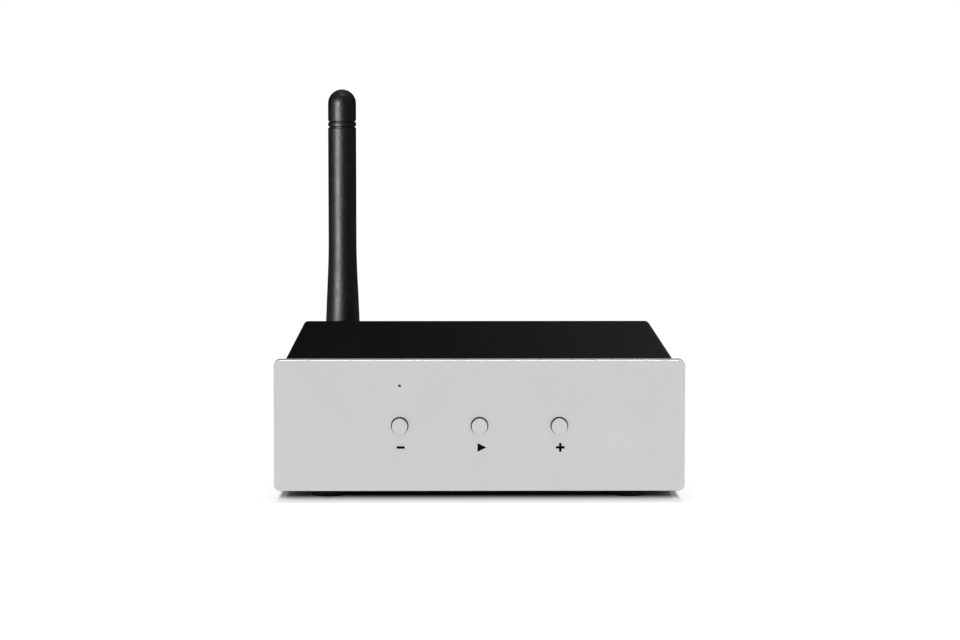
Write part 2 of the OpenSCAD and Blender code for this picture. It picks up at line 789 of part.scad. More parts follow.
// Network socket: housing with the plug's cavity, its latch notch and pockets for two lights
module lan_housing() {
    cavity_y = lan_mouth_y - lan_cavity[1];
    inner_w = lan_w - 2 * lan_shield_t;
    depth = lan_cavity[1] + EPS;
    color("#1c1c1e") difference() {
        block(lan_x, lan_mouth_y - lan_d, board_top_z, [inner_w, lan_d, lan_h - lan_shield_t]);
        block(lan_x, cavity_y, lan_cavity_z, [lan_cavity[0], depth, lan_cavity[2]]);
        block(lan_x, cavity_y, lan_cavity_z - lan_notch[1], [lan_notch[0], depth, lan_notch[1] + EPS]);
        block(lan_x, cavity_y, lan_cavity_z - lan_notch[1] - lan_keyway[1],
              [lan_keyway[0], depth, lan_keyway[1] + EPS]);
        for (side = [-1, 1]) block(lan_x + side * lan_light_x, lan_mouth_y - lan_light[1], lan_light_z,
                                   [lan_light[0], lan_light[1] + EPS, lan_light[2]]);
    }
}

// Network socket's sheet-metal shield: top and two sides round the housing
module lan_shield() {
    color("#c0c0c2") translate([lan_x, lan_mouth_y, board_top_z + lan_h]) rotate([90, 0, 0])
        mirror([0, 1, 0]) linear_extrude(lan_d) difference() {
            translate([-lan_w / 2, 0]) square([lan_w, lan_h]);
            translate([-lan_w / 2 + lan_shield_t, lan_shield_t])
                square([lan_w - 2 * lan_shield_t, lan_h]);
        }
}

// Network socket's eight contact springs, which hang from the cavity's ceiling
module lan_contacts() {
    t = lan_contact_t;
    color("#d8b24a") for (i = [0:7])
        translate([lan_x + (i - 3.5) * lan_contact_pitch - lan_contact_w / 2, lan_mouth_y,
                   lan_cavity_z + lan_cavity[2]])
            rotate([90, 0, 90]) linear_extrude(lan_contact_w)
                polygon([[-lan_contact_root[0], 0], [-lan_contact_root[0], -t],
                         [lan_contact_lip - lan_contact_reach, -lan_contact_drop - t],
                         [-lan_contact_reach, -lan_contact_drop],
                         [-lan_contact_root[1], -t], [-lan_contact_root[1], 0]]);
}

module lan_lights() {
    color("#9fd49a") for (side = [-1, 1])
        block(lan_x + side * lan_light_x, lan_mouth_y - lan_light[1], lan_light_z, lan_light);
}

// Optical socket: housing with the plug's cavity, holes for the shutter's pins and the emitter's seat
module optical_housing() {
    cavity_y = optical_mouth_y - optical_cavity[1];
    color("#161618") difference() {
        block(optical_x, optical_mouth_y - optical_d, board_top_z, [optical_w, optical_d, optical_h]);
        block(optical_x, cavity_y, optical_cavity_z,
              [optical_cavity[0], optical_cavity[1] + EPS, optical_cavity[2]]);
        along_x(optical_x - optical_cavity[0] / 2 - shutter_pin_len - 0.1, shutter_pivot_y, shutter_pivot_z)
            cylinder(r = shutter_pin_r + run_gap, h = optical_cavity[0] + 2 * shutter_pin_len + 0.2);
        along_y(optical_x, cavity_y - emitter_len + emitter_proud, optical_cavity_z + optical_cavity[2] / 2)
            cylinder(r = emitter_r + thread_gap, h = emitter_len);
    }
}

// Dust shutter: a flap on two short pins at the top of the optical socket's mouth
module optical_shutter() {
    w = optical_cavity[0] - 2 * shutter_side_gap;
    foot_z = optical_cavity_z + shutter_foot_gap;
    pin_w = optical_cavity[0] + 2 * shutter_pin_len;
    color("#242428") {
        block(optical_x, shutter_pivot_y - shutter_t / 2, foot_z, [w, shutter_t, shutter_pivot_z - foot_z]);
        along_x(optical_x - w / 2, shutter_pivot_y, shutter_pivot_z) cylinder(r = shutter_knuckle_r, h = w);
        along_x(optical_x - pin_w / 2, shutter_pivot_y, shutter_pivot_z)
            cylinder(r = shutter_pin_r, h = pin_w);
    }
}

module optical_emitter() {
    color("#7a1c1c") along_y(optical_x, optical_mouth_y - optical_cavity[1] - emitter_len + emitter_proud,
                             optical_cavity_z + optical_cavity[2] / 2)
        cylinder(r = emitter_r, h = emitter_len);
}

// Phono sockets' block, with a seat for each shell and a thread for the screw between them
module phono_housing() {
    color("#1a1a1c") difference() {
        block(phono_x, rear_in_y - phono_housing_d, board_top_z,
              [phono_housing_w, phono_housing_d, phono_housing_h]);
        for (x = phono_xs) {
            along_y(x, rear_in_y - phono_seat, phono_z)
                cylinder(r = phono_seat_r + thread_gap, h = phono_seat + 1);
            along_y(x, rear_in_y - phono_seat - phono_tail, phono_z)
                cylinder(r = phono_contact_r + thread_gap, h = phono_seat);
        }
        along_y(phono_x, rear_in_y - phono_seat, phono_screw_z)
            cylinder(r = m3_r + thread_gap, h = phono_seat + 1);
    }
}

// Phono sockets' metal shells: a seat in the block, and a slimmer barrel beyond the ring
module phono_shells() {
    seat = phono_seat + sheet_t + phono_ring_t;
    length = phono_seat + sheet_t + phono_proud;
    bore_r = phono_r - phono_wall;
    color("#d0b060") for (x = phono_xs) along_y(x, rear_in_y - phono_seat, phono_z) rotate_extrude()
        polygon([[bore_r, 0], [phono_seat_r, 0], [phono_seat_r, seat], [phono_r, seat],
                 [phono_r, length], [bore_r, length]]);
}

module phono_ring(x) {
    along_y(x, rear_out_y, phono_z) ring(phono_ring_r, phono_seat_r + thread_gap, phono_ring_t);
}

module phono_ring_white() { color("#e8e8e4") phono_ring(phono_xs[0]); }
module phono_ring_red() { color("#b02020") phono_ring(phono_xs[1]); }

// Phono sockets' insulators: a bore for the plug's pin, and a wider seat behind it for the contact
module phono_insulators() {
    length = phono_seat + sheet_t + phono_proud - phono_insulator_recess;
    seat = phono_seat + sheet_t + phono_contact_reach;
    seat_r = phono_contact_r + thread_gap;
    color("#e4e2da") for (x = phono_xs) along_y(x, rear_in_y - phono_seat, phono_z) rotate_extrude()
        polygon([[seat_r, 0], [phono_insulator_r, 0], [phono_insulator_r, length], [phono_bore_r, length],
                 [phono_bore_r, seat], [seat_r, seat]]);
}

// Phono sockets' centre contacts: a gripping tube in the insulator, closed behind it
module phono_contacts() {
    length = phono_seat + sheet_t + phono_contact_reach;
    color("#d8b24a") for (x = phono_xs) along_y(x, rear_in_y - phono_seat - phono_tail, phono_z)
        difference() {
            cylinder(r = phono_contact_r, h = phono_tail + length);
            translate([0, 0, phono_tail]) cylinder(r = phono_contact_bore_r, h = length + 1);
        }
}

// Power socket: a block with a round mouth, and a centre pin seated in its end
module power_housing() {
    bore_y = power_mouth_y - power_bore_d;
    color("#161618") difference() {
        block(power_x, power_mouth_y - power_d, board_top_z, [power_w, power_d, power_h]);
        along_y(power_x, bore_y, power_z) cylinder(r = power_bore_r, h = power_bore_d + 1);
        along_y(power_x, bore_y - power_pin_seat, power_z)
            cylinder(r = power_pin_seat_r + thread_gap, h = power_pin_seat + 1);
    }
}

module power_pin() {
    length = power_pin_seat + power_bore_d - power_pin_recess;
    color("#c8c8ca") along_y(power_x, power_mouth_y - power_bore_d - power_pin_seat, power_z)
        rotate_extrude()
            polygon([[0, 0], [power_pin_seat_r, 0], [power_pin_seat_r, power_pin_seat],
                     [power_pin_r, power_pin_seat], [power_pin_r, length], [0, length]]);
}

// Antenna socket: a flanged, threaded barrel through the rear wall, with a crimp tail inside
module antenna_socket() {
    color("#d0b060") difference() {
        union() {
            along_y(antenna_x, rear_in_y, antenna_z) cylinder(r = socket_r, h = sheet_t + socket_len);
            along_y(antenna_x, rear_in_y - socket_flange_t, antenna_z)
                cylinder(r = nut_flats / 2 / cos(30), h = socket_flange_t, $fn = 6);
            along_y(antenna_x, rear_in_y - socket_flange_t - pigtail_tail, antenna_z)
                cylinder(r = pigtail_tail_r, h = pigtail_tail + 1);
        }
        along_y(antenna_x, rear_out_y + socket_len - socket_mouth_d, antenna_z)
            cylinder(r = socket_mouth_r, h = socket_mouth_d + 1);
    }
}

module antenna_washer() {
    color("#b8b8ba") along_y(antenna_x, rear_out_y, antenna_z)
        ring(nut_flats / 2 + 0.6, socket_r + 0.1, washer_t);
}

module antenna_nut() {
    color("#d0b060") along_y(antenna_x, rear_out_y + washer_t, antenna_z) difference() {
        cylinder(r = nut_flats / 2 / cos(30), h = nut_t, $fn = 6);
        translate([0, 0, -EPS]) cylinder(r = socket_r + thread_gap, h = nut_t + 2 * EPS);
    }
}

// A point on the lead: it leaves both ends along y and drops smoothly between them
function pigtail_point(t) = [
    pigtail_end[0] + pigtail_span[0] * ease(t),
    pigtail_end[1] + pigtail_span[1] * t,
    pigtail_end[2] + pigtail_span[2] * ease(t)
];

module antenna_pigtail() {
    rings = 20;
    n = pigtail_sides;
    points = [for (i = [0:rings], k = [0:n - 1])
        pigtail_point(i / rings) + pigtail_r * [cos(360 * k / n), 0, sin(360 * k / n)]];
    sides = [for (i = [0:rings - 1], k = [0:n - 1], half = [0, 1])
        let (a = i * n + k, b = i * n + (k + 1) % n)
        half == 0 ? [a, b, b + n] : [a, b + n, a + n]];
    ends = [[for (k = [n - 1:-1:0]) k], [for (k = [0:n - 1]) rings * n + k]];
    color("#3a3a3c") polyhedron(points = points, faces = concat(sides, ends));
}

module pigtail_plug() {
    color("#d8b24a") {
        translate([plug_x, plug_y, module_top_z]) cylinder(r = plug_r, h = plug_h);
        block(plug_x, plug_y, module_top_z, plug_barrel);
    }
}

// Antenna coupling: the ring that screws onto the antenna socket and holds the base's spigot
module antenna_coupling() {
    color("#242426") along_y(antenna_x, rear_out_y + coupling_start, antenna_z) rotate_extrude()
        polygon([[socket_r + thread_gap, 0], [base_r - 0.3, 0], [base_r, 0.3], [base_r, coupling_len - 0.3],
                 [base_r - 0.3, coupling_len], [spigot_r + run_gap, coupling_len],
                 [spigot_r + run_gap, coupling_len - coupling_wall],
                 [socket_r + thread_gap, coupling_len - coupling_wall]]);
}

// Antenna base: it turns in the coupling on its spigot and carries the whip between two cheeks
module antenna_base() {
    head_start = coupling_end - coupling_wall - spigot_head_t - run_gap;
    head_end = head_start + spigot_head_t;
    collar_end = base_start + collar_len;
    color("#1c1c1e") difference() {
        union() {
            along_y(antenna_x, rear_out_y, antenna_z) rotate_extrude()
                polygon([[0, head_start], [spigot_head_r, head_start], [spigot_head_r, head_end],
                         [spigot_r, head_end], [spigot_r, base_start], [base_r - 0.4, base_start],
                         [base_r, base_start + 0.4], [base_r, collar_end], [0, collar_end]]);
            intersection() {
                along_y(antenna_x, rear_out_y + base_start + 1, antenna_z)
                    cylinder(r = base_r, h = hinge_reach);
                along_x(antenna_x - base_r, 0, 0) linear_extrude(2 * base_r) {
                    translate([-antenna_z, hinge_y]) circle(base_r);
                    translate([-antenna_z - base_r, rear_out_y + base_start + 1])
                        square([2 * base_r, hinge_reach - base_start - 1]);
                }
            }
        }
        block(antenna_x, rear_out_y + slot_start, antenna_z - base_r - 1,
              [2 * slot_half, hinge_reach, 2 * base_r + 2]);
        along_x(antenna_x - base_r - 1, hinge_y, antenna_z)
            cylinder(r = hinge_pin_d / 2 + thread_gap, h = 2 * base_r + 2);
    }
}

module antenna_hinge_pin() {
    half = base_r - 0.6;
    color("#b8b8ba") along_x(antenna_x - half, hinge_y, antenna_z) cylinder(d = hinge_pin_d, h = 2 * half);
}

// Outer radius of the whip at a height above its hinge
function whip_radius(s) = base_r + (whip_r - base_r)
    * ease(min(1, max(0, (s - flare_start) / (flare_end - flare_start))));

// Whip: a flared tube with a groove near its top, and a tongue that turns on the hinge pin
module antenna_whip() {
    groove = cap_joint - groove_gap;
    flare_steps = 16;
    flare = [for (i = [0:flare_steps]) let (s = flare_start + (flare_end - flare_start) * i / flare_steps)
        [whip_radius(s), s]];
    outline = concat(
        [[0, whip_start], [base_r - 0.3, whip_start], [base_r, whip_start + 0.3]],
        flare,
        [[whip_r, groove - groove_half], [whip_r - groove_depth, groove], [whip_r, groove + groove_half],
         [whip_r, cap_joint - groove_half], [whip_r - groove_depth, cap_joint], [whip_bore_r, cap_joint],
         [whip_bore_r, whip_bore_start], [0, whip_bore_start]]);
    color("#1a1a1c") translate([antenna_x, hinge_y, antenna_z]) difference() {
        union() {
            rotate_extrude() polygon(outline);
            rotate([90, 0, 90]) translate([0, 0, -tongue_half]) linear_extrude(2 * tongue_half) {
                circle(tongue_r);
                translate([-tongue_r, 0]) square([2 * tongue_r, whip_start + 0.5]);
            }
        }
        along_x(-base_r, 0, 0) cylinder(r = hinge_pin_d / 2 + run_gap, h = 2 * base_r);
    }
}

// Cap: the whip's domed end, on a spigot in the whip's tube
module antenna_cap() {
    color("#1a1a1c") translate([antenna_x, hinge_y, antenna_z]) rotate_extrude()
        polygon(concat(
            [[0, cap_joint - cap_spigot_len], [whip_bore_r - cap_spigot_gap, cap_joint - cap_spigot_len],
             [whip_bore_r - cap_spigot_gap, cap_joint], [whip_r - groove_depth, cap_joint],
             [whip_r, cap_joint + groove_half]],
            arc([0, whip_len - whip_r], whip_r, 0, 90, 16)));
}

// Radiating element inside the whip: a sleeve below and a thin wire above
module antenna_element() {
    sleeve_end = whip_bore_start + (cap_joint - whip_bore_start) * 0.45;
    wire_end = cap_joint - cap_spigot_len - 1;
    sleeve_r = whip_bore_r - 0.3;
    sleeve_bore_r = sleeve_r - 0.25;
    floor_end = whip_bore_start + 0.6;
    wire_r = 0.6;
    color("#c89858") translate([antenna_x, hinge_y, antenna_z]) rotate_extrude()
        polygon([[0, whip_bore_start], [sleeve_r, whip_bore_start], [sleeve_r, sleeve_end],
                 [sleeve_bore_r, sleeve_end], [sleeve_bore_r, floor_end], [wire_r, floor_end],
                 [wire_r, wire_end], [0, wire_end]]);
}

front_panel();
chassis();
rear_panel();
top_cover();
cover_screws();
panel_screws();
rear_screws();
foot_front_left();
foot_front_right();
foot_rear_left();
foot_rear_right();
button_minus();
button_play();
button_plus();
plunger_minus();
plunger_play();
plunger_plus();
button_guide();
guide_screws();
switch_bodies();
front_board();
front_board_screws();
light_pipe();
status_light();
ribbon_cable();
ribbon_connectors();
main_board();
board_standoffs();
board_screws();
radio_module();
module_shield();
board_chips();
electrolytic_capacitors();
power_inductor();
lan_housing();
lan_shield();
lan_contacts();
lan_lights();
optical_housing();
optical_shutter();
optical_emitter();
phono_housing();
phono_shells();
phono_ring_white();
phono_ring_red();
phono_insulators();
phono_contacts();
power_housing();
power_pin();
antenna_socket();
antenna_washer();
antenna_nut();
antenna_pigtail();
pigtail_plug();
antenna_coupling();
antenna_base();
antenna_hinge_pin();
antenna_whip();
antenna_cap();
antenna_element();
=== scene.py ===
# Looks of a compact network music streamer, dressed around its packed construction
import json
from math import atan2, cos, hypot, pi, radians, sin

import bpy
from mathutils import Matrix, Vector


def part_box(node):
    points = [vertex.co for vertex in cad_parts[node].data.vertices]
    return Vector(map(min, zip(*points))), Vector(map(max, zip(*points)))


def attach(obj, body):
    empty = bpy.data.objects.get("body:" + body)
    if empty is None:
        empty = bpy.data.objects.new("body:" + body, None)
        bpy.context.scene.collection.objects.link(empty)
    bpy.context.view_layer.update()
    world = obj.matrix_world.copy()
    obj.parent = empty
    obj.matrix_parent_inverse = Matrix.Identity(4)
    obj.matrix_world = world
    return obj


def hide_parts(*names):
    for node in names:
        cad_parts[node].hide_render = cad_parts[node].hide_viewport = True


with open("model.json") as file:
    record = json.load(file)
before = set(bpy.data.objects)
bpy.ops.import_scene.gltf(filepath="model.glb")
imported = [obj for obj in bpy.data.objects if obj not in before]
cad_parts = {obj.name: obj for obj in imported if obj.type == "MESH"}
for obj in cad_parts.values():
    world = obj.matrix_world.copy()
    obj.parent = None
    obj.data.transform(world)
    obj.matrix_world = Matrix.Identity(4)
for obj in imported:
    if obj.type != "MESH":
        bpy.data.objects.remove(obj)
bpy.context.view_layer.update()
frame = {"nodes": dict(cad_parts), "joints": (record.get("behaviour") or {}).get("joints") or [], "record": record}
nodes = frame["nodes"]
joints = {joint["name"]: joint for joint in frame["joints"]}

# Lengths are in metres, but profiles of turned pieces are in millimetres until mm() carries them over
MM = 0.001
TINY = 0.00001
MERGE = 0.000001
FACING = 0.9
SMOOTH_ANGLE = radians(32)
SMALL_SIDES = 48
FINE_SIDES = 96
TOWARD = {"+X": (0, radians(90), 0), "-X": (0, radians(-90), 0), "+Y": (radians(-90), 0, 0),
          "+Z": (0, 0, 0), "-Z": (radians(180), 0, 0)}

# Places that the pieces share
panel_low, panel_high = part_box("front_panel")
cover_low, cover_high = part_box("top_cover")
rear_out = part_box("rear_panel")[1].y
hinge = Vector(joints["antenna_fold"]["pos_m"])
flap_pivot = Vector(joints["shutter_swing"]["pos_m"])


def middle(node):
    low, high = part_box(node)
    return (low + high) / 2


def length_of(node):
    """A node's length from front to rear, for a profile"""
    low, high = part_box(node)
    return (high.y - low.y) / MM


# Camera: seen from a little above, through a long lens
CAMERA_FROM_PANEL = Vector((-5.72, -794.2, 118.48)) * MM
CAMERA_DIP = radians(5.209)
CAMERA_TURN = radians(-0.422)
LENS_MM = 119.76
SENSOR_MM = 36
VIEW_END = 50


def camera():
    made = bpy.data.objects.new("camera", bpy.data.cameras.new("camera"))
    bpy.context.scene.collection.objects.link(made)
    made.data.lens = LENS_MM
    made.data.sensor_width = SENSOR_MM
    made.data.clip_end = VIEW_END
    made.location = CAMERA_FROM_PANEL + Vector((0, panel_low.y, 0))
    made.rotation_euler = (radians(90) - CAMERA_DIP, 0, CAMERA_TURN)
    bpy.context.scene.camera = made


# Hand tools: selection, primitives and modifiers
def open_mesh():
    bpy.ops.object.mode_set(mode="EDIT")


def close_mesh():
    bpy.ops.object.mode_set(mode="OBJECT")


def deselect():
    if bpy.context.mode != "OBJECT":
        close_mesh()
    bpy.ops.object.select_all(action="DESELECT")


def take(piece):
    """Makes a piece the only selected one"""
    deselect()
    piece.select_set(True)
    bpy.context.view_layer.objects.active = piece


def settle():
    """Puts the selected piece's place into its mesh"""
    bpy.ops.object.transform_apply(location=True, rotation=True, scale=True)


def adopt(name):
    """Names the new primitive and settles it"""
    piece = bpy.context.object
    piece.name = name
    piece.data.name = name
    settle()
    return piece


def put(piece, place, toward="+Z"):
    """Moves a piece that stands on the origin along +Z to its place and direction"""
    take(piece)
    piece.rotation_euler = TOWARD[toward]
    piece.location = place
    settle()
    return piece


def block(name, low, high):
    """A block between two corners"""
    low, high = Vector(low), Vector(high)
    deselect()
    bpy.ops.mesh.primitive_cube_add(size=1, location=(low + high) / 2, scale=high - low)
    return adopt(name)


def rod(name, radius, start, length, toward="+Y", sides=64):
    """A round bar from a point"""
    deselect()
    bpy.ops.mesh.primitive_cylinder_add(vertices=sides, radius=radius, depth=length,
                                        location=(0, 0, length / 2))
    return put(adopt(name), start, toward)


def draw(along):
    """Extrudes what is selected by a vector"""
    bpy.ops.mesh.extrude_region_move(TRANSFORM_OT_translate={"value": along})


def drawn(name, profile, sides, fill):
    """A circle drawn along +Z through each (radius, height) of a profile"""
    radius, height = profile[0]
    deselect()
    bpy.ops.mesh.primitive_circle_add(vertices=sides, radius=radius, fill_type=fill, location=(0, 0, height))
    piece = adopt(name)
    take(piece)
    open_mesh()
    bpy.ops.mesh.select_mode(type="EDGE")
    bpy.ops.mesh.select_all(action="SELECT")
    for next_radius, next_height in profile[1:]:
        draw((0, 0, next_height - height))
        scale = next_radius / radius
        bpy.ops.transform.resize(value=(scale, scale, 1), center_override=(0, 0, next_height))
        radius, height = next_radius, next_height
    close_mesh()
    return piece


def turned(name, profile, sides=64):
    """A turned solid"""
    return drawn(name, profile, sides, "NGON")


def sleeve(name, profile, sides=64):
    """A turned ring: the end of its closed profile is bridged to the start"""
    piece = drawn(name, profile, sides, "NOTHING")
    open_mesh()
    bpy.ops.mesh.select_mode(type="EDGE")
    bpy.ops.mesh.select_non_manifold(extend=False)
    bpy.ops.mesh.bridge_edge_loops()
    close_mesh()
    return piece


def start_pick(piece, kind):
    take(piece)
    open_mesh()
    bpy.ops.mesh.select_mode(type=kind)
    bpy.ops.mesh.select_all(action="DESELECT")
    close_mesh()


def pick_edges(piece, test):
    """Enters edit mode with the edges selected whose two ends pass the test"""
    start_pick(piece, "EDGE")
    points = [vertex.co for vertex in piece.data.vertices]
    for edge in piece.data.edges:
        edge.select = test(points[edge.vertices[0]], points[edge.vertices[1]])
    open_mesh()


def pick_faces(piece, test):
    """Enters edit mode with the faces selected whose centre and normal pass the test"""
    start_pick(piece, "FACE")
    for face in piece.data.polygons:
        face.select = test(face.center, face.normal)
    open_mesh()


def remove_faces(piece, test):
    pick_faces(piece, test)
    bpy.ops.mesh.delete(type="FACE")
    close_mesh()


def bevel_edges(piece, test, width, segments):
    pick_edges(piece, test)
    bpy.ops.mesh.bevel(offset=width, segments=segments, affect="EDGES")
    close_mesh()


def on_circle(y, centre, radius):
    """A test for points on a circle that faces the front or the rear"""
    return lambda p: abs(p.y - y) < TINY and abs(hypot(p.x - centre.x, p.z - centre.z) - radius) < TINY


def work(piece, kind, **settings):
    """Adds a modifier and applies it"""
    take(piece)
    modifier = piece.modifiers.new(kind, kind)
    for key, value in settings.items():
        setattr(modifier, key, value)
    bpy.ops.object.modifier_apply(modifier=modifier.name)
    return piece


def soften(piece, width, angle):
    """Breaks the edges that are sharper than an angle in degrees"""
    return work(piece, "BEVEL", width=width, segments=2, limit_method="ANGLE",
                angle_limit=radians(angle), use_clamp_overlap=True)


def combine(piece, other, operation):
    """Cuts, joins or intersects a piece with another, which is used up"""
    work(piece, "BOOLEAN", operation=operation, object=other, solver="EXACT")
    bpy.data.objects.remove(other)
    return piece


def cut(piece, *tools):
    for tool in tools:
        combine(piece, tool, "DIFFERENCE")
    return piece


def copies(name, piece, placements):
    """Copies a piece that stands on the origin to each (place, direction), as one joined piece"""
    made = []
    for place, toward in placements:
        take(piece)
        bpy.ops.object.duplicate(linked=False)
        made.append(put(bpy.context.object, place, toward))
    take(piece)
    bpy.ops.object.delete()
    deselect()
    for copy in made:
        copy.select_set(True)
    bpy.context.view_layer.objects.active = made[0]
    bpy.ops.object.join()
    joined = bpy.context.object
    joined.name = name
    return joined


def dress(piece, finish, body, *stands_for, slot=None):
    """Cleans a finished piece, gives it its material and body, and hides the nodes that it stands for"""
    take(piece)
    open_mesh()
    bpy.ops.mesh.select_all(action="SELECT")
    bpy.ops.mesh.remove_doubles(threshold=MERGE)
    bpy.ops.mesh.normals_make_consistent(inside=False)
    close_mesh()
    bpy.ops.object.shade_smooth_by_angle(angle=SMOOTH_ANGLE)
    work(piece, "WEIGHTED_NORMAL", keep_sharp=True)
    piece.data.materials.clear()
    piece.data.materials.append(finishes[finish])
    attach(piece, body)
    if stands_for:
        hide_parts(*stands_for)
    return piece


def arc(centre, radius, start, end, steps):
    """Points of a profile on an arc, its angles in degrees"""
    angles = [radians(start + (end - start) * i / steps) for i in range(steps + 1)]
    return [(centre[0] + radius * cos(a), centre[1] + radius * sin(a)) for a in angles]


def mirrored(end, length):
    """The other end of a profile that is the same from both ends"""
    return [(radius, length - height) for radius, height in reversed(end)]


def mm(profile):
    return [(radius * MM, height * MM) for radius, height in profile]


# Values that run through material, world and lamp nodes
def feed(tree, level, socket):
    """Sets a socket to a number, or joins it to another value"""
    if isinstance(level, bpy.types.NodeSocket):
        tree.links.new(level, socket)
    else:
        socket.default_value = level


def span(tree, value, low, high, start, end, kind="SMOOTHSTEP"):
    """Carries a value from one range to another, whose ends are numbers or other values"""
    node = tree.nodes.new("ShaderNodeMapRange")
    node.interpolation_type = kind
    levels = {"Value": value, "From Min": low, "From Max": high, "To Min": start, "To Max": end}
    for name, level in levels.items():
        feed(tree, level, node.inputs[name])
    return node.outputs["Result"]


def calc(tree, operation, one, other):
    """One sum of two values"""
    node = tree.nodes.new("ShaderNodeMath")
    node.operation = operation
    feed(tree, one, node.inputs[0])
    feed(tree, other, node.inputs[1])
    return node.outputs["Value"]


# Materials: a plain coat, and the patterns that give it its detail
NOISE_LOW = 0.3
NOISE_HIGH = 0.7
TONE_LOW = 0.35
TONE_HIGH = 0.65
TRACKS_PER_M = 220
TRACK_EDGE = 0.03
finishes = {}


def shader_of(made):
    return made.node_tree.nodes["Principled BSDF"]


def coat(name, colour, roughness, metallic=0.0, specular=0.5):
    """A plain shader, kept under its name among the finishes"""
    made = bpy.data.materials.new(name)
    made.use_nodes = True
    sockets = shader_of(made).inputs
    sockets["Base Color"].default_value = (*colour, 1)
    sockets["Roughness"].default_value = roughness
    sockets["Metallic"].default_value = metallic
    sockets["Specular IOR Level"].default_value = specular
    finishes[name] = made
    return made


def grain(made, size, detail=3.0, stretch=(1, 1, 1)):
    """Noise with features of about a size, stretched along an axis"""
    tree = made.node_tree
    place = tree.nodes.new("ShaderNodeTexCoord")
    mapping = tree.nodes.new("ShaderNodeMapping")
    texture = tree.nodes.new("ShaderNodeTexNoise")
    mapping.inputs["Scale"].default_value = stretch
    texture.inputs["Scale"].default_value = 1 / size
    texture.inputs["Detail"].default_value = detail
    tree.links.new(place.outputs["Object"], mapping.inputs["Vector"])
    tree.links.new(mapping.outputs["Vector"], texture.inputs["Vector"])
    return texture.outputs["Fac"]


def shade(colour, factor):
    return tuple(min(1.0, part * factor) for part in colour)


def tone(made, pattern, colour, darker, lighter):
    """Lets the colour follow the pattern, from a darker to a lighter share of it"""
    tree = made.node_tree
    ramp = tree.nodes.new("ShaderNodeValToRGB")
    stops = ((TONE_LOW, darker), (TONE_HIGH, lighter))
    for element, (position, factor) in zip(ramp.color_ramp.elements, stops):
        element.position = position
        element.color = (*shade(colour, factor), 1)
    tree.links.new(pattern, ramp.inputs["Fac"])
    tree.links.new(ramp.outputs["Color"], shader_of(made).inputs["Base Color"])


def polish(made, pattern, low, high):
    """Lets the roughness follow the pattern"""
    level = span(made.node_tree, pattern, NOISE_LOW, NOISE_HIGH, low, high, "LINEAR")
    made.node_tree.links.new(level, shader_of(made).inputs["Roughness"])


def relief(made, pattern, height, strength):
    """Raises the surface by the pattern"""
    tree = made.node_tree
    bump = tree.nodes.new("ShaderNodeBump")
    bump.inputs["Distance"].default_value = height
    bump.inputs["Strength"].default_value = strength
    tree.links.new(pattern, bump.inputs["Height"])
    tree.links.new(bump.outputs["Normal"], shader_of(made).inputs["Normal"])


def anodised(name, colour, roughness):
    """Bead-blasted aluminium: an even, faintly mottled silver with a fine satin tooth"""
    made = coat(name, colour, roughness, metallic=1.0)
    tone(made, grain(made, 9 * MM, detail=5), colour, darker=0.992, lighter=1.008)
    polish(made, grain(made, 1.2 * MM, detail=4), roughness - 0.04, roughness + 0.04)
    relief(made, grain(made, 0.09 * MM, detail=2), height=0.004 * MM, strength=0.5)


def powder(name, colour, roughness, specular):
    """Powder coat: near black, with a fine pebbled skin"""
    made = coat(name, colour, roughness, specular=specular)
    tone(made, grain(made, 0.35 * MM), colour, darker=0.75, lighter=1.3)
    polish(made, grain(made, 2 * MM, detail=4), roughness - 0.02, roughness + 0.02)
    relief(made, grain(made, 0.28 * MM), height=0.004 * MM, strength=0.6)


def moulded(name, colour, roughness, specular=0.4, tooth=0.2 * MM, depth=0.01 * MM):
    """Moulded plastic or rubber with a fine tooth from its mould"""
    made = coat(name, colour, roughness, specular=specular)
    tone(made, grain(made, 3 * MM, detail=5), colour, darker=0.85, lighter=1.12)
    polish(made, grain(made, 1.5 * MM), roughness - 0.06, roughness + 0.06)
    relief(made, grain(made, tooth, detail=2), height=depth, strength=0.6)


def plated(name, colour, roughness, stretch=(1, 1, 1)):
    """Plated or bare metal with fine tool marks along the stretch"""
    made = coat(name, colour, roughness, metallic=1.0)
    tone(made, grain(made, 2.5 * MM, detail=4), colour, darker=0.9, lighter=1.06)
    polish(made, grain(made, 0.3 * MM, stretch=stretch), roughness - 0.05, roughness + 0.08)
    relief(made, grain(made, 0.12 * MM, detail=2, stretch=stretch), height=0.002 * MM, strength=0.5)


def laminate(name, colour):
    """Circuit board: solder mask with faint tracks showing through"""
    made = coat(name, colour, roughness=0.35)
    tree = made.node_tree
    place = tree.nodes.new("ShaderNodeTexCoord")
    tracks = tree.nodes.new("ShaderNodeTexBrick")
    tracks.inputs["Scale"].default_value = TRACKS_PER_M
    tracks.inputs["Mortar Size"].default_value = TRACK_EDGE
    for socket, factor in (("Color1", 1), ("Color2", 1.15), ("Mortar", 1.8)):
        tracks.inputs[socket].default_value = (*shade(colour, factor), 1)
    tree.links.new(place.outputs["Object"], tracks.inputs["Vector"])
    tree.links.new(tracks.outputs["Color"], shader_of(made).inputs["Base Color"])
    polish(made, grain(made, 2 * MM), 0.28, 0.42)


def clear(name, colour, roughness):
    """Clear or tinted moulding, cloudy in its depth"""
    made = coat(name, colour, roughness)
    shader_of(made).inputs["Transmission Weight"].default_value = 0.6
    tone(made, grain(made, 1.5 * MM, detail=4), colour, darker=0.85, lighter=1.1)
    polish(made, grain(made, 0.8 * MM), roughness, roughness + 0.1)


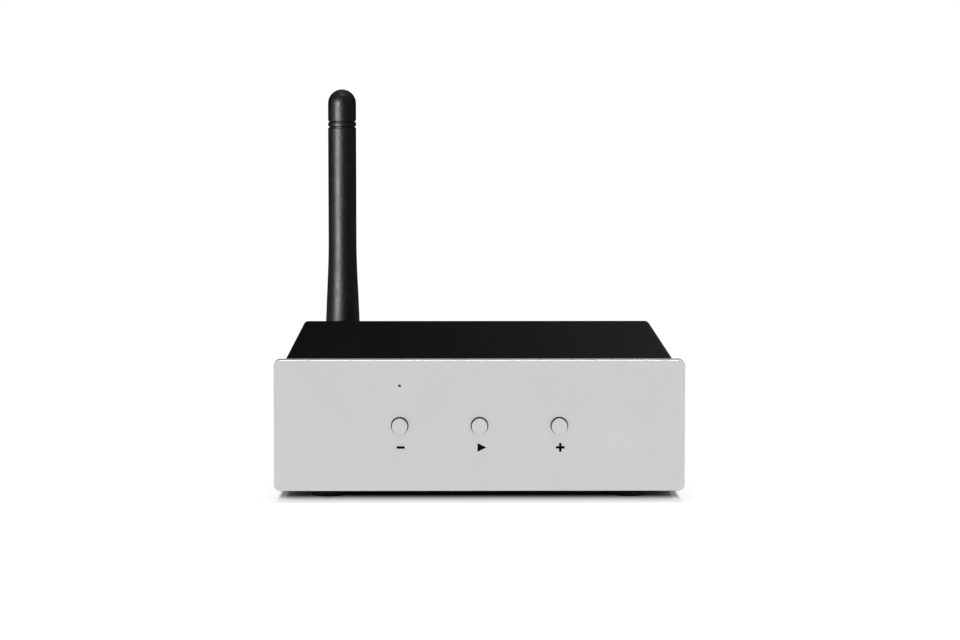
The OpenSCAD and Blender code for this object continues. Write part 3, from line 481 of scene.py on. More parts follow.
# Finishes of the case, the antenna and the marks
SILVER = (0.556, 0.556, 0.558)
BLACK = (0.0022, 0.0022, 0.0024)
ANTENNA = (0.002, 0.0021, 0.0022)
INK = (0.0015, 0.0015, 0.0015)
anodised("silver_anodised", SILVER, 0.42)
anodised("silver_button", SILVER, 0.42)
powder("black_coat", BLACK, 0.25, specular=0.1)
moulded("black_rubber", (0.028, 0.028, 0.028), 0.85, specular=0.1, tooth=0.3 * MM)
moulded("antenna_skin", ANTENNA, 0.42, specular=0.07, tooth=0.5 * MM, depth=0.11 * MM)
moulded("printed_black", INK, 0.7, specular=0.05)

# Finishes of the plastics
IVORY = (0.72, 0.68, 0.57)
DARK = (0.014, 0.014, 0.015)
moulded("dark_plastic", DARK, 0.45)
moulded("shutter_plastic", (0.028, 0.028, 0.03), 0.4)
moulded("ivory_plastic", IVORY, 0.45)
moulded("white_ring", (0.74, 0.74, 0.71), 0.4)
moulded("red_ring", (0.42, 0.012, 0.012), 0.4)
moulded("ribbon_skin", (0.62, 0.62, 0.58), 0.5)
moulded("coax_jacket", (0.02, 0.02, 0.02), 0.5)
moulded("chip_resin", DARK, 0.6, specular=0.3)
moulded("ferrite", (0.045, 0.045, 0.047), 0.7)
# The clear plastic is tinted near black as painted shade, so that the light pipe seen through the pinhole reads as
# a dark hole
clear("clear_plastic", (0.03, 0.031, 0.033), 0.12)
clear("light_chip", (0.8, 0.74, 0.5), 0.2)
clear("socket_light", (0.32, 0.55, 0.26), 0.25)
clear("red_lens", (0.4, 0.02, 0.02), 0.1)
laminate("green_board", (0.012, 0.1, 0.035))
laminate("blue_board", (0.01, 0.03, 0.12))

# Finishes of the metals
GOLD = (0.83, 0.62, 0.27)
STEEL = (0.56, 0.56, 0.57)
plated("black_screw", (0.03, 0.03, 0.032), 0.4)
plated("zinc_screw", STEEL, 0.3)
plated("spring_steel", STEEL, 0.28)
plated("tinned_steel", (0.66, 0.66, 0.65), 0.3, stretch=(1, 0.1, 1))
plated("brass_hex", (0.62, 0.46, 0.19), 0.32)
plated("capacitor_can", (0.03, 0.03, 0.045), 0.35)
plated("gold_contact", GOLD, 0.22)
plated("gold_shell", GOLD, 0.2, stretch=(1, 6, 1))
plated("nickel_pin", (0.68, 0.66, 0.62), 0.2)
plated("coupling_black", (0.025, 0.025, 0.027), 0.42)
plated("copper_element", (0.72, 0.4, 0.22), 0.3)

for subpart in frame["record"]["subparts"]:
    surface = nodes[subpart["node"]].data
    surface.materials.clear()
    surface.materials.append(finishes[subpart["material_slot"]])


# Front panel and its buttons
PANEL_CORNER = 1.5 * MM
PANEL_CHAMFER = 0.16 * MM
RIM_BREAK = 0.03 * MM
DRILL_LEN = 8 * MM
BUTTON_HOLE_R = 2.2 * MM
PINHOLE_R = 0.35 * MM
PINHOLE_RISE = 10 * MM
BUTTON_NAMES = ("minus", "play", "plus")
CAP_SAG = 0.06 * MM
CAP_R = 1.95
CAP_EDGE = 0.04
FLANGE_R = 3.5
FLANGE_START = 5.9
FLANGE_END = 6.9
STEM_R = 1.5
STEM_END = 10.8
BUTTON_PROFILE = mm(arc((CAP_R - CAP_EDGE, CAP_EDGE), CAP_EDGE, -90, 0, 4)
                    + [(CAP_R, FLANGE_START), (FLANGE_R, FLANGE_START), (FLANGE_R, FLANGE_END),
                       (STEM_R, FLANGE_END), (STEM_R, STEM_END)])


def button_centre(name):
    centre = middle("button_" + name)
    return Vector((centre.x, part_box("button_" + name)[0].y, centre.z))


def front_panel():
    piece = block("front_plate", panel_low, panel_high)
    front, back = panel_low.y, panel_high.y
    bevel_edges(piece, lambda a, b: abs(a.y - b.y) > TINY, PANEL_CORNER, 8)
    bevel_edges(piece, lambda a, b: a.y < front + TINY and b.y < front + TINY, PANEL_CHAMFER, 3)
    bevel_edges(piece, lambda a, b: a.y > back - TINY and b.y > back - TINY, PANEL_CHAMFER / 2, 2)
    holes = [(button_centre(name), BUTTON_HOLE_R) for name in BUTTON_NAMES]
    holes.append((button_centre("minus") + Vector((0, 0, PINHOLE_RISE)), PINHOLE_R))
    for centre, radius in holes:
        cut(piece, rod("drill", radius, (centre.x, front - MM, centre.z), DRILL_LEN))
    rims = [on_circle(front, centre, radius) for centre, radius in holes]

    def on_rim(point):
        return any(rim(point) for rim in rims)

    bevel_edges(piece, lambda a, b: on_rim(a) and on_rim(b), RIM_BREAK, 1)
    dress(piece, "silver_anodised", "case", "front_panel")


def buttons():
    for name in BUTTON_NAMES:
        piece = turned("button_cap_" + name, BUTTON_PROFILE)
        put(piece, button_centre(name) - Vector((0, 0, CAP_SAG)), "+Y")
        dress(piece, "silver_button", name + "_key", "button_" + name)


# Printed marks below the buttons, and their place beside the button's axis
MARK_DROP = 5.5 * MM
MARK_SHIFT = 0.25 * MM
INK_T = 0.02 * MM
MARK_STROKE = 0.62 * MM
MINUS_W = 2.05 * MM
PLUS_W = 2.2 * MM
PLAY_W = 2.25 * MM
PLAY_H = 2.2 * MM
TRIANGLE_SIDE = 3 ** 0.5
TRIANGLE_REACH = 1.5


def mark_centre(name):
    centre = button_centre(name)
    return Vector((centre.x + MARK_SHIFT, panel_low.y, centre.z - MARK_DROP))


def ink(mark):
    """Raises a flat mark from the panel's face by the ink's thickness"""
    take(mark)
    open_mesh()
    bpy.ops.mesh.select_all(action="SELECT")
    draw((0, -INK_T, 0))
    close_mesh()
    dress(mark, "printed_black", "case", slot="black_coat")


def flat_sheet(name, centre, width, height):
    """A flat rectangle on the panel's face"""
    deselect()
    bpy.ops.mesh.primitive_plane_add(size=1, location=centre, rotation=(radians(90), 0, 0))
    bpy.context.object.scale = (width, height, 1)
    return adopt(name)


def minus_mark():
    ink(flat_sheet("mark_minus", mark_centre("minus"), MINUS_W, MARK_STROKE))


def plus_mark():
    """A square with an arm drawn out of each side"""
    centre = mark_centre("plus")
    plus = flat_sheet("mark_plus", centre, MARK_STROKE, MARK_STROKE)
    reach = (PLUS_W - MARK_STROKE) / 2
    for along in (Vector((1, 0, 0)), Vector((-1, 0, 0)), Vector((0, 0, 1)), Vector((0, 0, -1))):
        edge = centre + along * MARK_STROKE / 2
        pick_edges(plus, lambda a, b: ((a + b) / 2 - edge).length < TINY)
        draw(along * reach)
        close_mesh()
    ink(plus)


def play_mark():
    """A circle of three sides, scaled to the triangle's width and height"""
    deselect()
    bpy.ops.mesh.primitive_circle_add(vertices=3, radius=1, fill_type="NGON", location=mark_centre("play"),
                                      rotation=(radians(90), radians(90), 0))
    bpy.context.object.scale = (PLAY_H / TRIANGLE_SIDE, PLAY_W / TRIANGLE_REACH, 1)
    ink(adopt("mark_play"))


# Top cover: one sheet folded over the top and both sides
SHEET_T = 1 * MM
SHEET_EDGE = 0.12 * MM
BEND_R = 1.5 * MM


def top_cover():
    piece = block("cover_shell", cover_low, cover_high)
    remove_faces(piece, lambda centre, normal: abs(normal.y) > FACING or normal.z < -FACING)
    top = cover_high.z
    bevel_edges(piece, lambda a, b: abs(a.y - b.y) > TINY and a.z > top - TINY, BEND_R, 8)
    work(piece, "SOLIDIFY", thickness=SHEET_T, offset=-1, use_even_offset=True)
    soften(piece, SHEET_EDGE, 50)
    dress(piece, "black_coat", "case", "top_cover")


# Rubber feet with a barbed stem and a hollow sole
FOOT_PROFILE = mm([(1.6, 5.25), (2.6, 4.05), (2, 4.05), (2, 3), (4.8, 3), (5, 2.8), (4.62, 0.5)]
                  + arc((4.12, 0.5), 0.5, 0, -90, 5) + [(2.6, 0), (2.3, 0.4), (0.6, 0.55)])


def feet():
    for name in ("front_left", "front_right", "rear_left", "rear_right"):
        centre = middle("foot_" + name)
        piece = put(turned("rubber_foot_" + name, FOOT_PROFILE), (centre.x, centre.y, 0))
        dress(piece, "black_rubber", "case", "foot_" + name)


# Antenna: knurled coupling, forked base, hinge pin, flared whip and domed cap, its sizes in millimetres
BASE_R = 5
WHIP_R = 4.05
WHIP_START = 5.4
FLARE_START = 10
FLARE_LEN = 30
FLARE_STEPS = 24
WHIP_LEN = 83.6
CAP_JOINT = WHIP_LEN - 9.3
CAP_STEM_R = 2.5
CAP_STEM_LEN = 4
LOWER_GROOVE = CAP_JOINT - 1.55
GROOVE = 0.35
TONGUE_R = 4.6
TONGUE_HALF = 2.45
TONGUE_SINK = 0.5
FORK_GAP = 0.1
FORK_EDGE = 0.15
HINGE_PIN_R = 1.5
HINGE_PIN_HALF = BASE_R - 0.6
FORK_BORE_R = HINGE_PIN_R + 0.05
TONGUE_BORE_R = HINGE_PIN_R + 0.07
COUPLING_START = 2.9
COUPLING_LEN = 8.5
COUPLING_BORE_R = 3.2
COUPLING_MOUTH_R = 2.57
COUPLING_LIP = 1.5
KNURL_START = 1.7
KNURL_SIDES = 96
KNURL_DEPTH = 0.18
BASE_START = COUPLING_START + COUPLING_LEN + 0.1
COLLAR_LEN = 4.5
HINGE_REACH = BASE_START + COLLAR_LEN + BASE_R
SWIVEL_HEAD_R = 3
SWIVEL_HEAD_T = 0.8
SWIVEL_NECK_R = 2.5
SWIVEL_GAP = 0.07
SOCKET_R = 3.2
NUT_T = 2
NUT_CORNER_R = 4 / cos(radians(30))
WASHER_T = 0.6
WASHER_R = 4.6


def antenna_at(distance):
    """A point on the antenna socket's axis, behind the rear panel"""
    return Vector((hinge.x, rear_out + distance * MM, hinge.z))


def from_hinge(x, y, z):
    return hinge + Vector((x, y, z)) * MM


def ease(t):
    return t * t * (3 - 2 * t)


def groove(height):
    return [(WHIP_R, height - GROOVE), (WHIP_R - 0.1, height - 0.22), (WHIP_R - GROOVE, height - 0.1),
            (WHIP_R - GROOVE, height + 0.1), (WHIP_R - 0.1, height + 0.22), (WHIP_R, height + GROOVE)]


def antenna_whip():
    shares = [i / FLARE_STEPS for i in range(FLARE_STEPS + 1)]
    profile = [(BASE_R - 0.5, WHIP_START), (BASE_R - 0.15, WHIP_START + 0.1), (BASE_R, WHIP_START + 0.4)]
    profile += [(BASE_R + (WHIP_R - BASE_R) * ease(t), FLARE_START + FLARE_LEN * t) for t in shares]
    profile += groove(LOWER_GROOVE) + groove(CAP_JOINT)[:3] + [(WHIP_R - GROOVE, CAP_JOINT)]
    piece = put(turned("whip_tube", mm(profile), FINE_SIDES), hinge)
    tongue = block("tongue", from_hinge(-TONGUE_HALF, -TONGUE_R, 0),
                   from_hinge(TONGUE_HALF, TONGUE_R, WHIP_START + TONGUE_SINK))
    eye = rod("eye", TONGUE_R * MM, from_hinge(-TONGUE_HALF, 0, 0), 2 * TONGUE_HALF * MM, "+X")
    combine(tongue, eye, "UNION")
    combine(piece, tongue, "UNION")
    cut(piece, rod("drill", TONGUE_BORE_R * MM, from_hinge(-BASE_R, 0, 0), 2 * BASE_R * MM, "+X"))
    dress(piece, "antenna_skin", "antenna_stick", "antenna_whip")


def antenna_cap():
    profile = [(CAP_STEM_R, CAP_JOINT - CAP_STEM_LEN), (CAP_STEM_R, CAP_JOINT), (WHIP_R - GROOVE, CAP_JOINT)]
    profile += groove(CAP_JOINT)[3:] + arc((0, WHIP_LEN - WHIP_R), WHIP_R, 0, 88, 20)
    piece = put(turned("whip_cap", mm(profile), FINE_SIDES), hinge)
    dress(piece, "antenna_skin", "antenna_stick", "antenna_cap")


def antenna_base():
    head = COUPLING_START + COUPLING_LEN - COUPLING_LIP - SWIVEL_HEAD_T - SWIVEL_GAP
    neck = head + SWIVEL_HEAD_T
    profile = [(SWIVEL_HEAD_R, head), (SWIVEL_HEAD_R, neck), (SWIVEL_NECK_R, neck),
               (SWIVEL_NECK_R, BASE_START), (BASE_R - 0.4, BASE_START), (BASE_R, BASE_START + 0.4),
               (BASE_R, BASE_START + 3.4), (BASE_R - 0.25, BASE_START + 3.6),
               (BASE_R - 0.25, BASE_START + 3.9), (BASE_R, BASE_START + 4.1),
               (BASE_R, HINGE_REACH + BASE_R)]
    piece = put(turned("antenna_fork", mm(profile), FINE_SIDES), antenna_at(0), "+Y")
    side = BASE_R + 1
    end = block("end", from_hinge(-side, 0, -side), from_hinge(side, side, side))
    cut(end, rod("round", BASE_R * MM, from_hinge(-2 * side, 0, 0), 4 * side * MM, "+X"))
    slot_low = from_hinge(-TONGUE_HALF - FORK_GAP, 0, -side)
    slot_low.y = antenna_at(BASE_START + COLLAR_LEN - FORK_GAP).y
    slot = block("slot", slot_low, from_hinge(TONGUE_HALF + FORK_GAP, side, side))
    pin_hole = rod("drill", FORK_BORE_R * MM, from_hinge(-side, 0, 0), 2 * side * MM, "+X")
    cut(piece, end, slot, pin_hole)
    soften(piece, FORK_EDGE * MM, 40)
    dress(piece, "antenna_skin", "antenna_knuckle", "antenna_base")


def antenna_hinge_pin():
    end = [(HINGE_PIN_R - 0.6, 0), (HINGE_PIN_R - 0.25, 0.06), (HINGE_PIN_R, 0.3)]
    profile = mm(end + mirrored(end, 2 * HINGE_PIN_HALF))
    piece = put(turned("hinge_rivet", profile), from_hinge(-HINGE_PIN_HALF, 0, 0), "+X")
    dress(piece, "spring_steel", "antenna_knuckle", "antenna_hinge_pin")


def antenna_coupling():
    length = COUPLING_LEN
    end = [(BASE_R - 0.35, 0), (BASE_R, 0.35), (BASE_R, 1.1), (BASE_R - 0.3, 1.3), (BASE_R - 0.3, 1.5),
           (BASE_R - 0.05, KNURL_START)]
    lip = [(COUPLING_MOUTH_R, length), (COUPLING_MOUTH_R, length - COUPLING_LIP),
           (COUPLING_BORE_R, length - COUPLING_LIP)]
    profile = [(COUPLING_BORE_R, 0)] + end + mirrored(end, length) + lip
    piece = sleeve("knurled_coupling", mm(profile), KNURL_SIDES)

    def on_groove(centre, normal):
        turn = int((atan2(centre.y, centre.x) / (2 * pi) + 1) * KNURL_SIDES + 0.01)
        along_band = KNURL_START * MM < centre.z < (length - KNURL_START) * MM
        outside = hypot(centre.x, centre.y) > (BASE_R - 0.2) * MM
        return along_band and outside and turn % 2 == 0

    pick_faces(piece, on_groove)
    bpy.ops.mesh.extrude_region_shrink_fatten(TRANSFORM_OT_shrink_fatten={"value": -KNURL_DEPTH * MM})
    close_mesh()
    put(piece, antenna_at(COUPLING_START), "+Y")
    dress(piece, "coupling_black", "case", "antenna_coupling")


def antenna_nut():
    """A hexagon whose corners are chamfered by a turned shape"""
    piece = turned("antenna_hex_nut", mm([(NUT_CORNER_R, 0), (NUT_CORNER_R, NUT_T)]), 6)
    end = [(NUT_CORNER_R - 0.45, -0.01), (NUT_CORNER_R + 0.05, 0.28)]
    combine(piece, turned("chamfer", mm(end + mirrored(end, NUT_T))), "INTERSECT")
    cut(piece, rod("drill", SOCKET_R * MM, (0, 0, -MM), (NUT_T + 2) * MM, "+Z"))
    put(piece, antenna_at(WASHER_T), "+Y")
    dress(piece, "gold_shell", "case", "antenna_nut")


def antenna_washer():
    bore = SOCKET_R + 0.05
    end = [(bore, 0.05), (bore + 0.05, 0), (WASHER_R - 0.1, 0), (WASHER_R, 0.1)]
    profile = end + mirrored(end, WASHER_T)
    piece = put(sleeve("lock_washer", mm(profile)), antenna_at(0), "+Y")
    dress(piece, "spring_steel", "case", "antenna_washer")


# Screws with a hexagon socket in a rounded head, in millimetres and shares of the head
THREAD_R = 1.5
THREAD_LEN = 4.5
HEAD_ROUND = 0.7
KEY_SHARE = 0.44
KEY_FLOOR = 0.35


def head_radius():
    low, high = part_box("cover_screws")
    return (high.z - low.z) / 2


def screw(name, head_height):
    head_r, head_h = head_radius() / MM, head_height / MM
    edge = head_h * HEAD_ROUND
    profile = [(THREAD_R - 0.25, -THREAD_LEN), (THREAD_R, -THREAD_LEN + 0.3), (THREAD_R, 0),
               (head_r - 0.1, 0), (head_r, 0.1)]
    profile += arc((head_r - edge, head_h - edge), edge, 0, 90, 6)
    piece = turned(name, mm(profile), SMALL_SIDES)
    key_start = (0, 0, head_h * KEY_FLOOR * MM)
    cut(piece, rod("hex_key", head_r * KEY_SHARE * MM, key_start, head_h * MM, "+Z", 6))
    return piece


def cover_screws():
    low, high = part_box("cover_screws")
    z = middle("cover_screws").z
    rows = (low.y + head_radius(), high.y - head_radius())
    places = [((side * cover_high.x, y, z), toward) for side, toward in ((-1, "-X"), (1, "+X")) for y in rows]
    joined = copies("cover_screw_set", screw("cover_screw", high.x - cover_high.x), places)
    dress(joined, "black_screw", "case", "cover_screws")


def rear_screws():
    low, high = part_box("rear_screws")
    head_r = head_radius()
    floor_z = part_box("chassis")[0].z
    places = [((middle("phono_housing").x, rear_out, high.z - head_r), "+Y")]
    places += [((side * (high.x - head_r), low.y + head_r, floor_z), "-Z") for side in (-1, 1)]
    joined = copies("rear_screw_set", screw("rear_screw", high.y - rear_out), places)
    dress(joined, "black_screw", "case", "rear_screws")


# Power socket: a moulded block with a round mouth and a rounded centre pin
POWER_BORE_R = 3.15 * MM
POWER_BORE_D = 10 * MM
POWER_EDGE = 0.4 * MM
POWER_BREAK = 0.2 * MM
LONG_EDGE = 5 * MM
PAST_BORE = 4 * MM
POWER_PIN_R = 1.05
POWER_PIN_FOOT_R = POWER_PIN_R + 0.3
POWER_PIN_ROUND = 0.7


def power_socket():
    low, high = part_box("power_housing")
    pin = middle("power_pin")
    piece = block("power_jack", low, high)
    cut(piece, rod("drill", POWER_BORE_R, (pin.x, high.y - POWER_BORE_D, pin.z), POWER_BORE_D + MM))
    on_mouth = on_circle(high.y, pin, POWER_BORE_R)

    def on_long_side(a, b):
        return abs(a.y - b.y) > LONG_EDGE and abs(a.x - pin.x) > PAST_BORE

    bevel_edges(piece, lambda a, b: on_mouth(a) and on_mouth(b), POWER_EDGE, 3)
    bevel_edges(piece, on_long_side, POWER_EDGE, 3)
    soften(piece, POWER_BREAK, 50)
    dress(piece, "dark_plastic", "case", "power_housing")


def power_pin():
    pin = middle("power_pin")
    start = (pin.x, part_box("power_pin")[0].y, pin.z)
    end = length_of("power_pin") - POWER_PIN_ROUND
    profile = [(POWER_PIN_FOOT_R, 0), (POWER_PIN_FOOT_R, 2), (POWER_PIN_R, 2.3)]
    profile += arc((POWER_PIN_R - POWER_PIN_ROUND, end), POWER_PIN_ROUND, 0, 88, 6)
    piece = put(turned("power_contact", mm(profile), SMALL_SIDES), start, "+Y")
    dress(piece, "nickel_pin", "case", "power_pin")


# Phono sockets: gold shells, coloured rings and insulating cores, their sizes in millimetres
SHELL_R = 4.15
SHELL_BORE_R = SHELL_R - 0.6
RING_R = 5.6
RING_BORE_R = SHELL_R + 0.1
CORE_R = 3.5
CORE_BORE_R = 1.75
CORE_START = 8


def phono_axis(colour):
    """A point on a phono socket's axis, at the rear panel's face"""
    ring = middle("phono_ring_" + colour)
    return Vector((ring.x, rear_out, ring.z))


def phono_pair(name, profile, finish, node):
    """One turned piece on both phono axes, from the node's front end to its rear end"""
    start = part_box(node)[0].y
    axes = [phono_axis(colour) for colour in ("white", "red")]
    places = [(Vector((axis.x, start, axis.z)), "+Y") for axis in axes]
    dress(copies(name, sleeve(name, mm(profile)), places), finish, "case", node)


def phono_shells():
    length = length_of("phono_shells")
    profile = [(SHELL_BORE_R, 0), (SHELL_R, 0), (SHELL_R, length - 2.4), (SHELL_R - 0.2, length - 2.2),
               (SHELL_R - 0.2, length - 1.9), (SHELL_R, length - 1.7), (SHELL_R, length - 0.35),
               (SHELL_R - 0.1, length - 0.1), (SHELL_R - 0.3, length), (SHELL_BORE_R + 0.1, length - 0.1),
               (SHELL_BORE_R, length - 0.25)]
    phono_pair("phono_barrels", profile, "gold_shell", "phono_shells")


def phono_cores():
    length = length_of("phono_insulators")
    profile = [(CORE_BORE_R, CORE_START), (CORE_R, CORE_START), (CORE_R, length - 0.2),
               (CORE_R - 0.2, length), (CORE_BORE_R + 0.6, length),
               (CORE_BORE_R + 0.15, length - 0.4), (CORE_BORE_R, length - 0.6)]
    phono_pair("phono_cores", profile, "ivory_plastic", "phono_insulators")


def phono_rings():
    profile = [(RING_BORE_R, 0), (RING_R, 0), (RING_R, 1)] + arc((RING_R - 0.5, 1.1), 0.5, 0, 90, 5)
    profile += [(RING_BORE_R + 0.3, 1.6), (RING_BORE_R, 1.4)]
    for colour in ("white", "red"):
        piece = put(sleeve("phono_collar_" + colour, mm(profile), FINE_SIDES), phono_axis(colour), "+Y")
        dress(piece, colour + "_ring", "case", "phono_ring_" + colour)


# Network socket: a folded steel shell with a window for the plug and two for the lights
STEEL_T = 0.3 * MM
STEEL_BEND = 0.35 * MM
PLUG_RISE = 3.4 * MM
PLUG_W = 11.9 * MM
PLUG_H = 8.2 * MM
LATCH_W = 6.4 * MM
LATCH_H = 1.5 * MM
KEY_W = 3.6 * MM
KEY_H = 1 * MM
WINDOW_EDGE = 0.2 * MM
LIGHT_W = 3.2 * MM


def network_socket():
    low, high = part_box("lan_shield")
    face = high.y + STEEL_T
    piece = block("network_shell", low, (high.x, face, high.z))
    remove_faces(piece, lambda centre, normal: normal.z < -FACING or normal.y < -FACING)

    def on_bend(a, b):
        on_top = a.z > high.z - TINY and b.z > high.z - TINY
        return on_top or abs(a.z - b.z) > TINY and a.y > face - TINY

    bevel_edges(piece, on_bend, STEEL_BEND, 3)
    work(piece, "SOLIDIFY", thickness=STEEL_T, offset=-1, use_even_offset=True)
    x = middle("lan_shield").x
    plug_z = low.z + PLUG_RISE
    latch_z = plug_z - LATCH_H
    steps = ((PLUG_W, plug_z, plug_z + PLUG_H), (LATCH_W, latch_z, plug_z + MM),
             (KEY_W, latch_z - KEY_H, plug_z))
    windows = []
    for width, start, end in steps:
        half = width / 2 + WINDOW_EDGE
        windows.append((x - half, x + half, start - WINDOW_EDGE, end + WINDOW_EDGE))
    light_low, light_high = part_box("lan_lights")
    for left in (light_low.x, light_high.x - LIGHT_W):
        windows.append((left, left + LIGHT_W, light_low.z, light_high.z))
    for left, right, bottom, top in windows:
        cut(piece, block("window", (left, face - MM, bottom), (right, face + MM, top)))
    dress(piece, "tinned_steel", "case", "lan_shield")


# Optical socket: a bezel with a square mouth and a hinged dust shutter
MOUTH = 8.4 * MM
MOUTH_D = 10.5 * MM
MOUTH_RISE = 0.9 * MM
BEZEL_EDGE = 0.22 * MM
FLAP_T = 0.7 * MM
FLAP_GAP = 0.2 * MM
FLAP_RIM = 0.9 * MM
FLAP_RECESS = 0.2 * MM
FLAP_EDGE = 0.05 * MM
KNUCKLE_R = 0.55 * MM
FLAP_PIN_R = 0.35 * MM
FLAP_PIN_GAP = 0.12 * MM
FLAP_SIDES = 32


def flap_rod(name, radius, start, length):
    """A round bar on the shutter's axis"""
    return rod(name, radius, (start, flap_pivot.y, flap_pivot.z), length, "+X", FLAP_SIDES)


def optical_socket():
    low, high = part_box("optical_housing")
    x = middle("optical_housing").x
    mouth_z = low.z + MOUTH_RISE
    front = high.y
    piece = block("optical_bezel", low, high)
    cut(piece, block("mouth", (x - MOUTH / 2, front - MOUTH_D, mouth_z),
                     (x + MOUTH / 2, front + MM, mouth_z + MOUTH)))
    pin_low, pin_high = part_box("optical_shutter")
    bore_len = pin_high.x - pin_low.x + 2 * FLAP_PIN_GAP
    cut(piece, flap_rod("drill", FLAP_PIN_R + FLAP_PIN_GAP, pin_low.x - FLAP_PIN_GAP, bore_len))
    bevel_edges(piece, lambda a, b: a.y > front - TINY and b.y > front - TINY, BEZEL_EDGE, 2)
    dress(piece, "dark_plastic", "case", "optical_housing")


def dust_shutter():
    low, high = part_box("optical_shutter")
    x = middle("optical_shutter").x
    half = MOUTH / 2 - FLAP_GAP
    piece = block("dust_flap", (x - half, flap_pivot.y - FLAP_T / 2, low.z),
                  (x + half, flap_pivot.y + FLAP_T / 2, flap_pivot.z))
    pick_faces(piece, lambda centre, normal: normal.y > FACING)
    bpy.ops.mesh.inset(thickness=FLAP_RIM, depth=0)
    draw((0, -FLAP_RECESS, 0))
    close_mesh()
    combine(piece, flap_rod("knuckle", KNUCKLE_R, x - half, 2 * half), "UNION")
    combine(piece, flap_rod("pin", FLAP_PIN_R, low.x, high.x - low.x), "UNION")
    soften(piece, FLAP_EDGE, 50)
    dress(piece, "shutter_plastic", "dust_shutter", "optical_shutter")


def make_pieces():
    front_panel()
    buttons()
    minus_mark()
    plus_mark()
    play_mark()
    top_cover()
    feet()
    antenna_whip()
    antenna_cap()
    antenna_base()
    antenna_hinge_pin()
    antenna_coupling()
    antenna_nut()
    antenna_washer()
    cover_screws()
    rear_screws()
    power_socket()
    power_pin()
    phono_shells()
    phono_cores()
    phono_rings()
    network_socket()
    optical_socket()
    dust_shutter()


# Surroundings: white where seen, dim low down behind the object where mirrored, by direction
WORLD_FILL = 0.5
REAR_LEFT = 0.003
REAR_RIGHT = 0.085
LEFT_TO_RIGHT = (-0.04, 0.2)
FRONT_TO_REAR = (-0.2, 0.4)
LOW_TO_HIGH = (0.35, 0.8)


def surroundings():
    world = bpy.data.worlds.new("studio")
    bpy.context.scene.world = world
    world.use_nodes = True
    tree = world.node_tree
    background = tree.nodes["Background"]
    background.inputs["Color"].default_value = (1, 1, 1, 1)
    rays = tree.nodes.new("ShaderNodeLightPath").outputs
    seen = calc(tree, "MAXIMUM", rays["Is Camera Ray"], rays["Is Transmission Ray"])
    place = tree.nodes.new("ShaderNodeTexCoord")
    axes = tree.nodes.new("ShaderNodeSeparateXYZ")
    tree.links.new(place.outputs["Generated"], axes.inputs["Vector"])
    behind = span(tree, axes.outputs["Y"], *FRONT_TO_REAR, 0, 1)
    low_behind = span(tree, axes.outputs["Z"], *LOW_TO_HIGH, behind, 0)
    rear = span(tree, axes.outputs["X"], *LEFT_TO_RIGHT, REAR_LEFT, REAR_RIGHT)
    reflected = span(tree, low_behind, 0, 1, 1, rear)
    lighting = span(tree, seen, 0, 1, WORLD_FILL, 1)
    level = span(tree, rays["Is Glossy Ray"], 0, 1, lighting, reflected)
    tree.links.new(level, background.inputs["Strength"])


# Floor: matt white with the object's shadow, whiter where seen round the object, painted a darker grey under the
# object where seen (a painted shadow), dim behind it where mirrored
FLOOR_SIDE = 60
FLOOR_LIT = 0.92
# Painted shadow: where the camera sees it, the floor under the object is coloured this darker grey
FLOOR_PAINTED_SHADOW = 0.3
FLOOR_SHARE = 0.75
SHADOW_SIDE = 1.5 * MM
SHADOW_START = 2 * MM
SHADOW_FRONT = 14 * MM
REAR_NEAR = 0.15
REAR_FAR = 0.5


def round_object(tree, across, along):
    """The share of white: full round the object, and nothing under it"""
    left = span(tree, across, panel_low.x, panel_low.x + SHADOW_SIDE, FLOOR_SHARE, 0)
    right = span(tree, across, panel_high.x - SHADOW_SIDE, panel_high.x, 0, FLOOR_SHARE)
    front = span(tree, along, panel_low.y + SHADOW_START, panel_low.y + SHADOW_FRONT, FLOOR_SHARE, 0)
    rear = span(tree, along, rear_out - SHADOW_SIDE, rear_out, 0, FLOOR_SHARE)
    sides = calc(tree, "MAXIMUM", left, right)
    ends = calc(tree, "MAXIMUM", front, rear)
    return calc(tree, "MAXIMUM", sides, ends)


def floor_white():
    made = bpy.data.materials.new("floor_white")
    made.use_nodes = True
    tree = made.node_tree
    rays = tree.nodes.new("ShaderNodeLightPath").outputs
    place = tree.nodes.new("ShaderNodeTexCoord")
    axes = tree.nodes.new("ShaderNodeSeparateXYZ")
    tree.links.new(place.outputs["Object"], axes.inputs["Vector"])
    across, along = axes.outputs["X"], axes.outputs["Y"]
    outside = round_object(tree, across, along)
    # Painted shadow: the floor's colour seen by the camera falls to a darker grey under the object
    under = span(tree, outside, 0, FLOOR_SHARE, FLOOR_PAINTED_SHADOW, FLOOR_LIT)
    dim = span(tree, along, REAR_NEAR, REAR_FAR, FLOOR_LIT, REAR_LEFT)
    lit = span(tree, rays["Is Glossy Ray"], 0, 1, FLOOR_LIT, dim)
    colour = span(tree, rays["Is Camera Ray"], 0, 1, lit, under)
    matt = tree.nodes.new("ShaderNodeBsdfDiffuse")
    tree.links.new(colour, matt.inputs["Color"])
    white = tree.nodes.new("ShaderNodeEmission")
    both = tree.nodes.new("ShaderNodeMixShader")
    tree.links.new(calc(tree, "MULTIPLY", rays["Is Camera Ray"], outside), both.inputs["Fac"])
    tree.links.new(matt.outputs["BSDF"], both.inputs[1])
    tree.links.new(white.outputs["Emission"], both.inputs[2])
    tree.links.new(both.outputs["Shader"], tree.nodes["Material Output"].inputs["Surface"])
    return made


def floor():
    deselect()
    bpy.ops.mesh.primitive_plane_add(size=FLOOR_SIDE, location=(0, 0, 0))
    piece = adopt("floor")
    piece.data.materials.append(floor_white())


# Lamps: a soft high light, and a softbox for the front of the upright antenna
HIGH_LIGHT = 2.5
HIGH_LIGHT_PLACE = (0, -0.12, 1)
HIGH_LIGHT_ANGLE = radians(24)
SOFTBOX_POWER = 13
SOFTBOX_W = 0.135
SOFTBOX_H = 0.24
SOFTBOX_LEFT = 0.16
SOFTBOX_BACK = 0.23
WHIP_MIDDLE = 0.04
FIRST_RAY = 1.5
RAY_STEP = 0.1

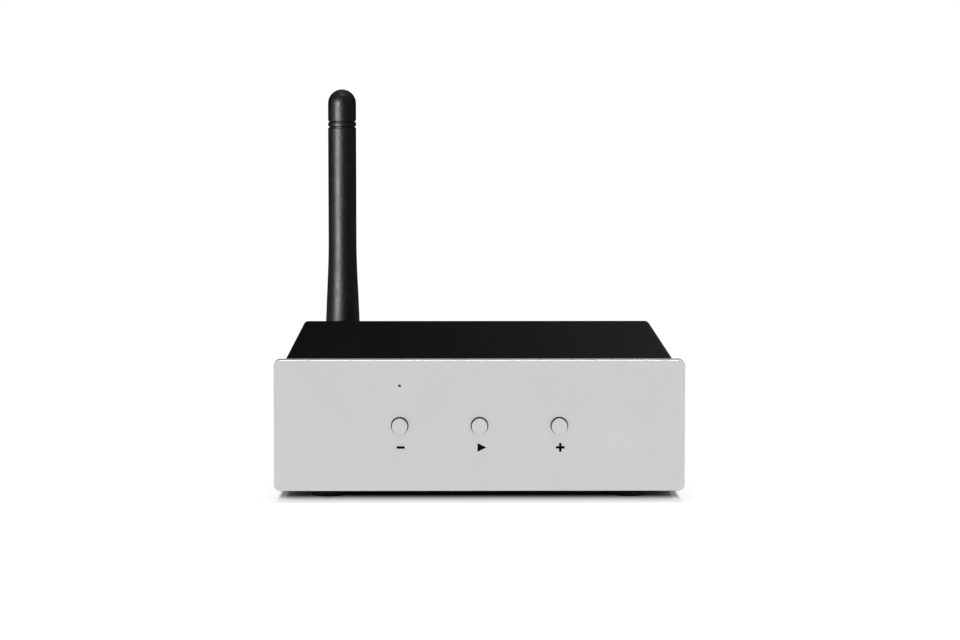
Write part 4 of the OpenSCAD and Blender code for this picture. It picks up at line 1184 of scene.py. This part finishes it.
# The softbox fades out along each direction, from the first to the second distance before the hinge
REAR_AND_DOWN = (0, cos(radians(30)), -sin(radians(30)))
REARWARD = (0, 1, 0)
SOFTBOX_LIMITS = ((REAR_AND_DOWN, 12 * MM, 8 * MM), (REARWARD, 2 * MM, 0.5 * MM))


def lamp(name, kind, place, aim, energy, **settings):
    data = bpy.data.lights.new(name, kind)
    data.energy = energy
    for key, value in settings.items():
        setattr(data, key, value)
    made = bpy.data.objects.new(name, data)
    bpy.context.scene.collection.objects.link(made)
    made.location = place
    made.rotation_euler = (Vector(aim) - Vector(place)).to_track_quat("-Z", "Y").to_euler()
    return made


def lit_place(tree, rays, direction):
    """How far along a direction away from the lamp the lit point lies"""
    axis = tree.nodes.new("ShaderNodeCombineXYZ")
    for socket, part in zip(axis.inputs, direction):
        socket.default_value = part
    slant = tree.nodes.new("ShaderNodeLayerWeight")
    tree.links.new(axis.outputs["Vector"], slant.inputs["Normal"])
    spot = tree.nodes.new("ShaderNodeNewGeometry")
    start = tree.nodes.new("ShaderNodeVectorMath")
    start.operation = "DOT_PRODUCT"
    tree.links.new(spot.outputs["Position"], start.inputs[0])
    tree.links.new(axis.outputs["Vector"], start.inputs[1])
    square_on = calc(tree, "SUBTRACT", 1, slant.outputs["Facing"])
    way = calc(tree, "MULTIPLY", square_on, rays["Ray Length"])
    return calc(tree, "ADD", start.outputs["Value"], way)


def softbox():
    """Gives the whip and its cap their highlight, and nothing in a mirror image or past its limits"""
    aim = hinge + Vector((0, 0, WHIP_MIDDLE))
    place = aim - Vector((SOFTBOX_LEFT, SOFTBOX_BACK, 0))
    made = lamp("side_softbox", "AREA", place, aim, SOFTBOX_POWER,
                shape="RECTANGLE", size=SOFTBOX_W, size_y=SOFTBOX_H)
    made.visible_diffuse = False
    made.data.cycles.use_multiple_importance_sampling = False
    made.data.use_nodes = True
    tree = made.data.node_tree
    rays = tree.nodes.new("ShaderNodeLightPath").outputs
    level = span(tree, rays["Ray Depth"], FIRST_RAY, FIRST_RAY + RAY_STEP, 1, 0)
    for direction, fade, end in SOFTBOX_LIMITS:
        limit = hinge.dot(Vector(direction))
        level = span(tree, lit_place(tree, rays, direction), limit - fade, limit - end, level, 0)
    tree.links.new(level, tree.nodes["Emission"].inputs["Strength"])
    lit = bpy.data.collections.new("lit_by_softbox")
    for name in ("whip_tube", "whip_cap"):
        lit.objects.link(bpy.data.objects[name])
    made.light_linking.receiver_collection = lit


def lights():
    lamp("high_light", "SUN", HIGH_LIGHT_PLACE, (0, 0, 0), HIGH_LIGHT, angle=HIGH_LIGHT_ANGLE)
    softbox()


camera()
make_pieces()
surroundings()
floor()
lights()
bpy.context.scene.view_settings.view_transform = "Standard"
